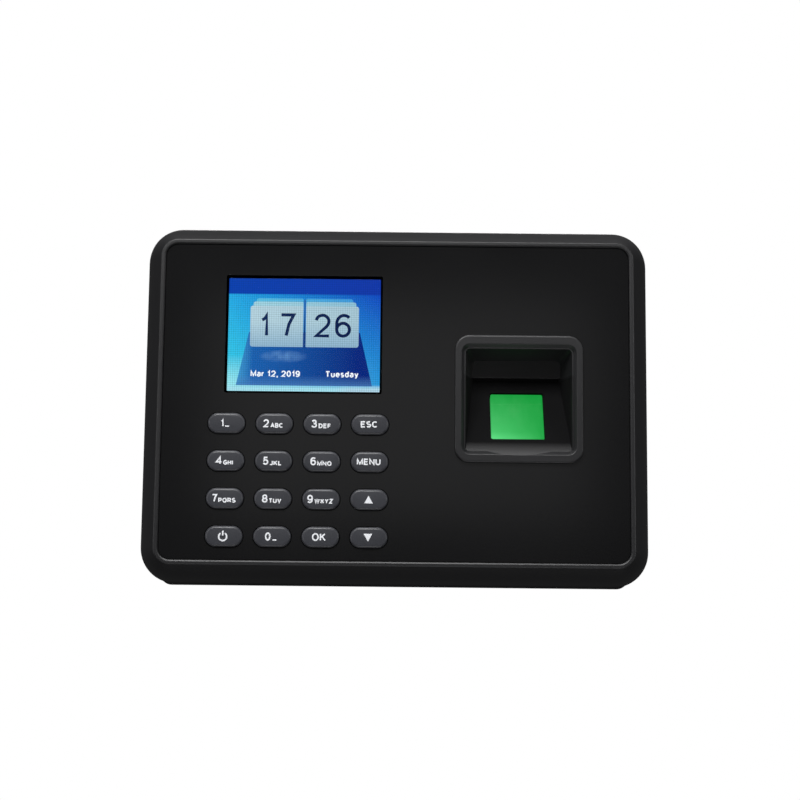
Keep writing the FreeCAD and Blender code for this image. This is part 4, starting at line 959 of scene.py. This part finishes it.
def studio_floor():
    half, height = FLOOR_SIZE / 2, cad_box[0].z - FLOOR_DROP
    mesh = bpy.data.meshes.new("floor")
    mesh.from_pydata([(x * half, y * half, height) for x, y in ((-1, -1), (1, -1), (1, 1), (-1, 1))],
                     [], [(0, 1, 2, 3)])
    floor = bpy.data.objects.new("floor", mesh)
    scene.collection.objects.link(floor)
    paint = Finish("floor_paint", Roughness=0.9, Emission_Strength=0.9)
    pale = paint.mix(paint.noise(0.4), tint(246, 246, 246), tint(252, 252, 252))
    paint.feed(Base_Color=pale, Emission_Color=pale)
    mesh.materials.append(paint.material)
    floor.visible_glossy = floor.visible_diffuse = False
    floor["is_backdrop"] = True
    return floor


def soft_box(name, place, target, size, radiance):
    """A white area light of a given radiance, which doesn't itself show."""
    light = bpy.data.lights.new(name, "AREA")
    light.shape, light.size, light.size_y = "RECTANGLE", *size
    light.energy = radiance * math.pi * size[0] * size[1]
    lamp = bpy.data.objects.new(name, light)
    lamp.location = place
    lamp.rotation_euler = (Vector(target) - Vector(place)).to_track_quat("-Z", "Y").to_euler()
    lamp.visible_camera = False
    scene.collection.objects.link(lamp)
    return lamp


def pale_world(ambient):
    """White to the eye, and a dim even light to everything else."""
    world = bpy.data.worlds.new("studio_air")
    world.use_nodes = True
    nodes, links = world.node_tree.nodes, world.node_tree.links
    dim = nodes["Background"]
    dim.inputs[0].default_value, dim.inputs[1].default_value = (1, 1, 1, 1), ambient
    white = nodes.new("ShaderNodeBackground")
    white.inputs[0].default_value = (1, 1, 1, 1)
    seen, choice = nodes.new("ShaderNodeLightPath"), nodes.new("ShaderNodeMixShader")
    links.new(seen.outputs["Is Camera Ray"], choice.inputs[0])
    links.new(dim.outputs[0], choice.inputs[1])
    links.new(white.outputs[0], choice.inputs[2])
    links.new(choice.outputs[0], nodes["World Output"].inputs[0])
    scene.world = world


def around(turn, rise, distance):
    """A place around the terminal: degrees to the right of the camera, degrees up, and metres away."""
    turn, rise = math.radians(turn), math.radians(rise)
    return (distance * math.sin(turn) * math.cos(rise), -distance * math.cos(turn) * math.cos(rise),
            distance * math.sin(rise))


studio_floor()
pale_world(AMBIENT)
HEART = (0, -0.02, 0)
BOXES = {  # each light's place, its width and height in metres, and its radiance
    "left_box": (around(-58, 10, 1.0), (0.25, 0.8), 2.6),
    "right_box": (around(58, 10, 1.0), (0.25, 0.8), 3.0),
    "high_box": (around(-12, 44, 1.1), (0.8, 0.4), 13.0),
    "top_box": ((0, -0.12, 0.85), (1.2, 0.45), 2.0),
    "back_box": (around(180, 42, 1.05), (1.6, 0.6), 0.05),
    "front_card": ((0, -0.54, 0.057), (0.26, 0.15), 0.33),
    "low_box": (around(0, -60, 0.9), (0.9, 0.4), 1.8),
    "rear_box": (around(180, 12, 1.2), (0.5, 0.5), 9.0),
}
for name, (place, size, radiance) in BOXES.items():
    soft_box(name, place, HEART, size, radiance)

# %% [markdown]
# ## The camera
# The terminal hangs above eye level: the camera looks up at it by seven degrees from half a metre, turned
# by half a degree, as a hand held it. Its axes are written out as a matrix, which is easier to follow than
# three chained rotations.

# %% Set the camera
PITCH, ROLL = math.radians(7.0), math.radians(0.6)
CAMERA_PLACE = Vector((1.3, -498.3, -56.5)) * MM
SENSOR_WIDTH, LENS = 36.0, 65.74

camera_data = bpy.data.cameras.new("camera")
camera_data.sensor_width, camera_data.lens = SENSOR_WIDTH, LENS
camera_data.clip_start = 0.01
camera = bpy.data.objects.new("camera", camera_data)
scene.collection.objects.link(camera)
ahead = Vector((0, math.cos(PITCH), math.sin(PITCH)))
above, aside = Vector((0, -math.sin(PITCH), math.cos(PITCH))), Vector((1, 0, 0))
rolled_aside = aside * math.cos(ROLL) + above * math.sin(ROLL)
rolled_above = above * math.cos(ROLL) - aside * math.sin(ROLL)
axes = Matrix((rolled_aside, rolled_above, -ahead)).transposed()
camera.matrix_world = Matrix.Translation(CAMERA_PLACE) @ axes.to_4x4()
scene.camera = camera
print("camera looks along", [round(v, 3) for v in ahead])

# %% Print the growth in size, and finish
new_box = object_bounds()
before, after = (*cad_box[0], *cad_box[1]), (*new_box[0], *new_box[1])
print("grown by", [round((b - a) / MM, 3) for a, b in zip(before, after)])
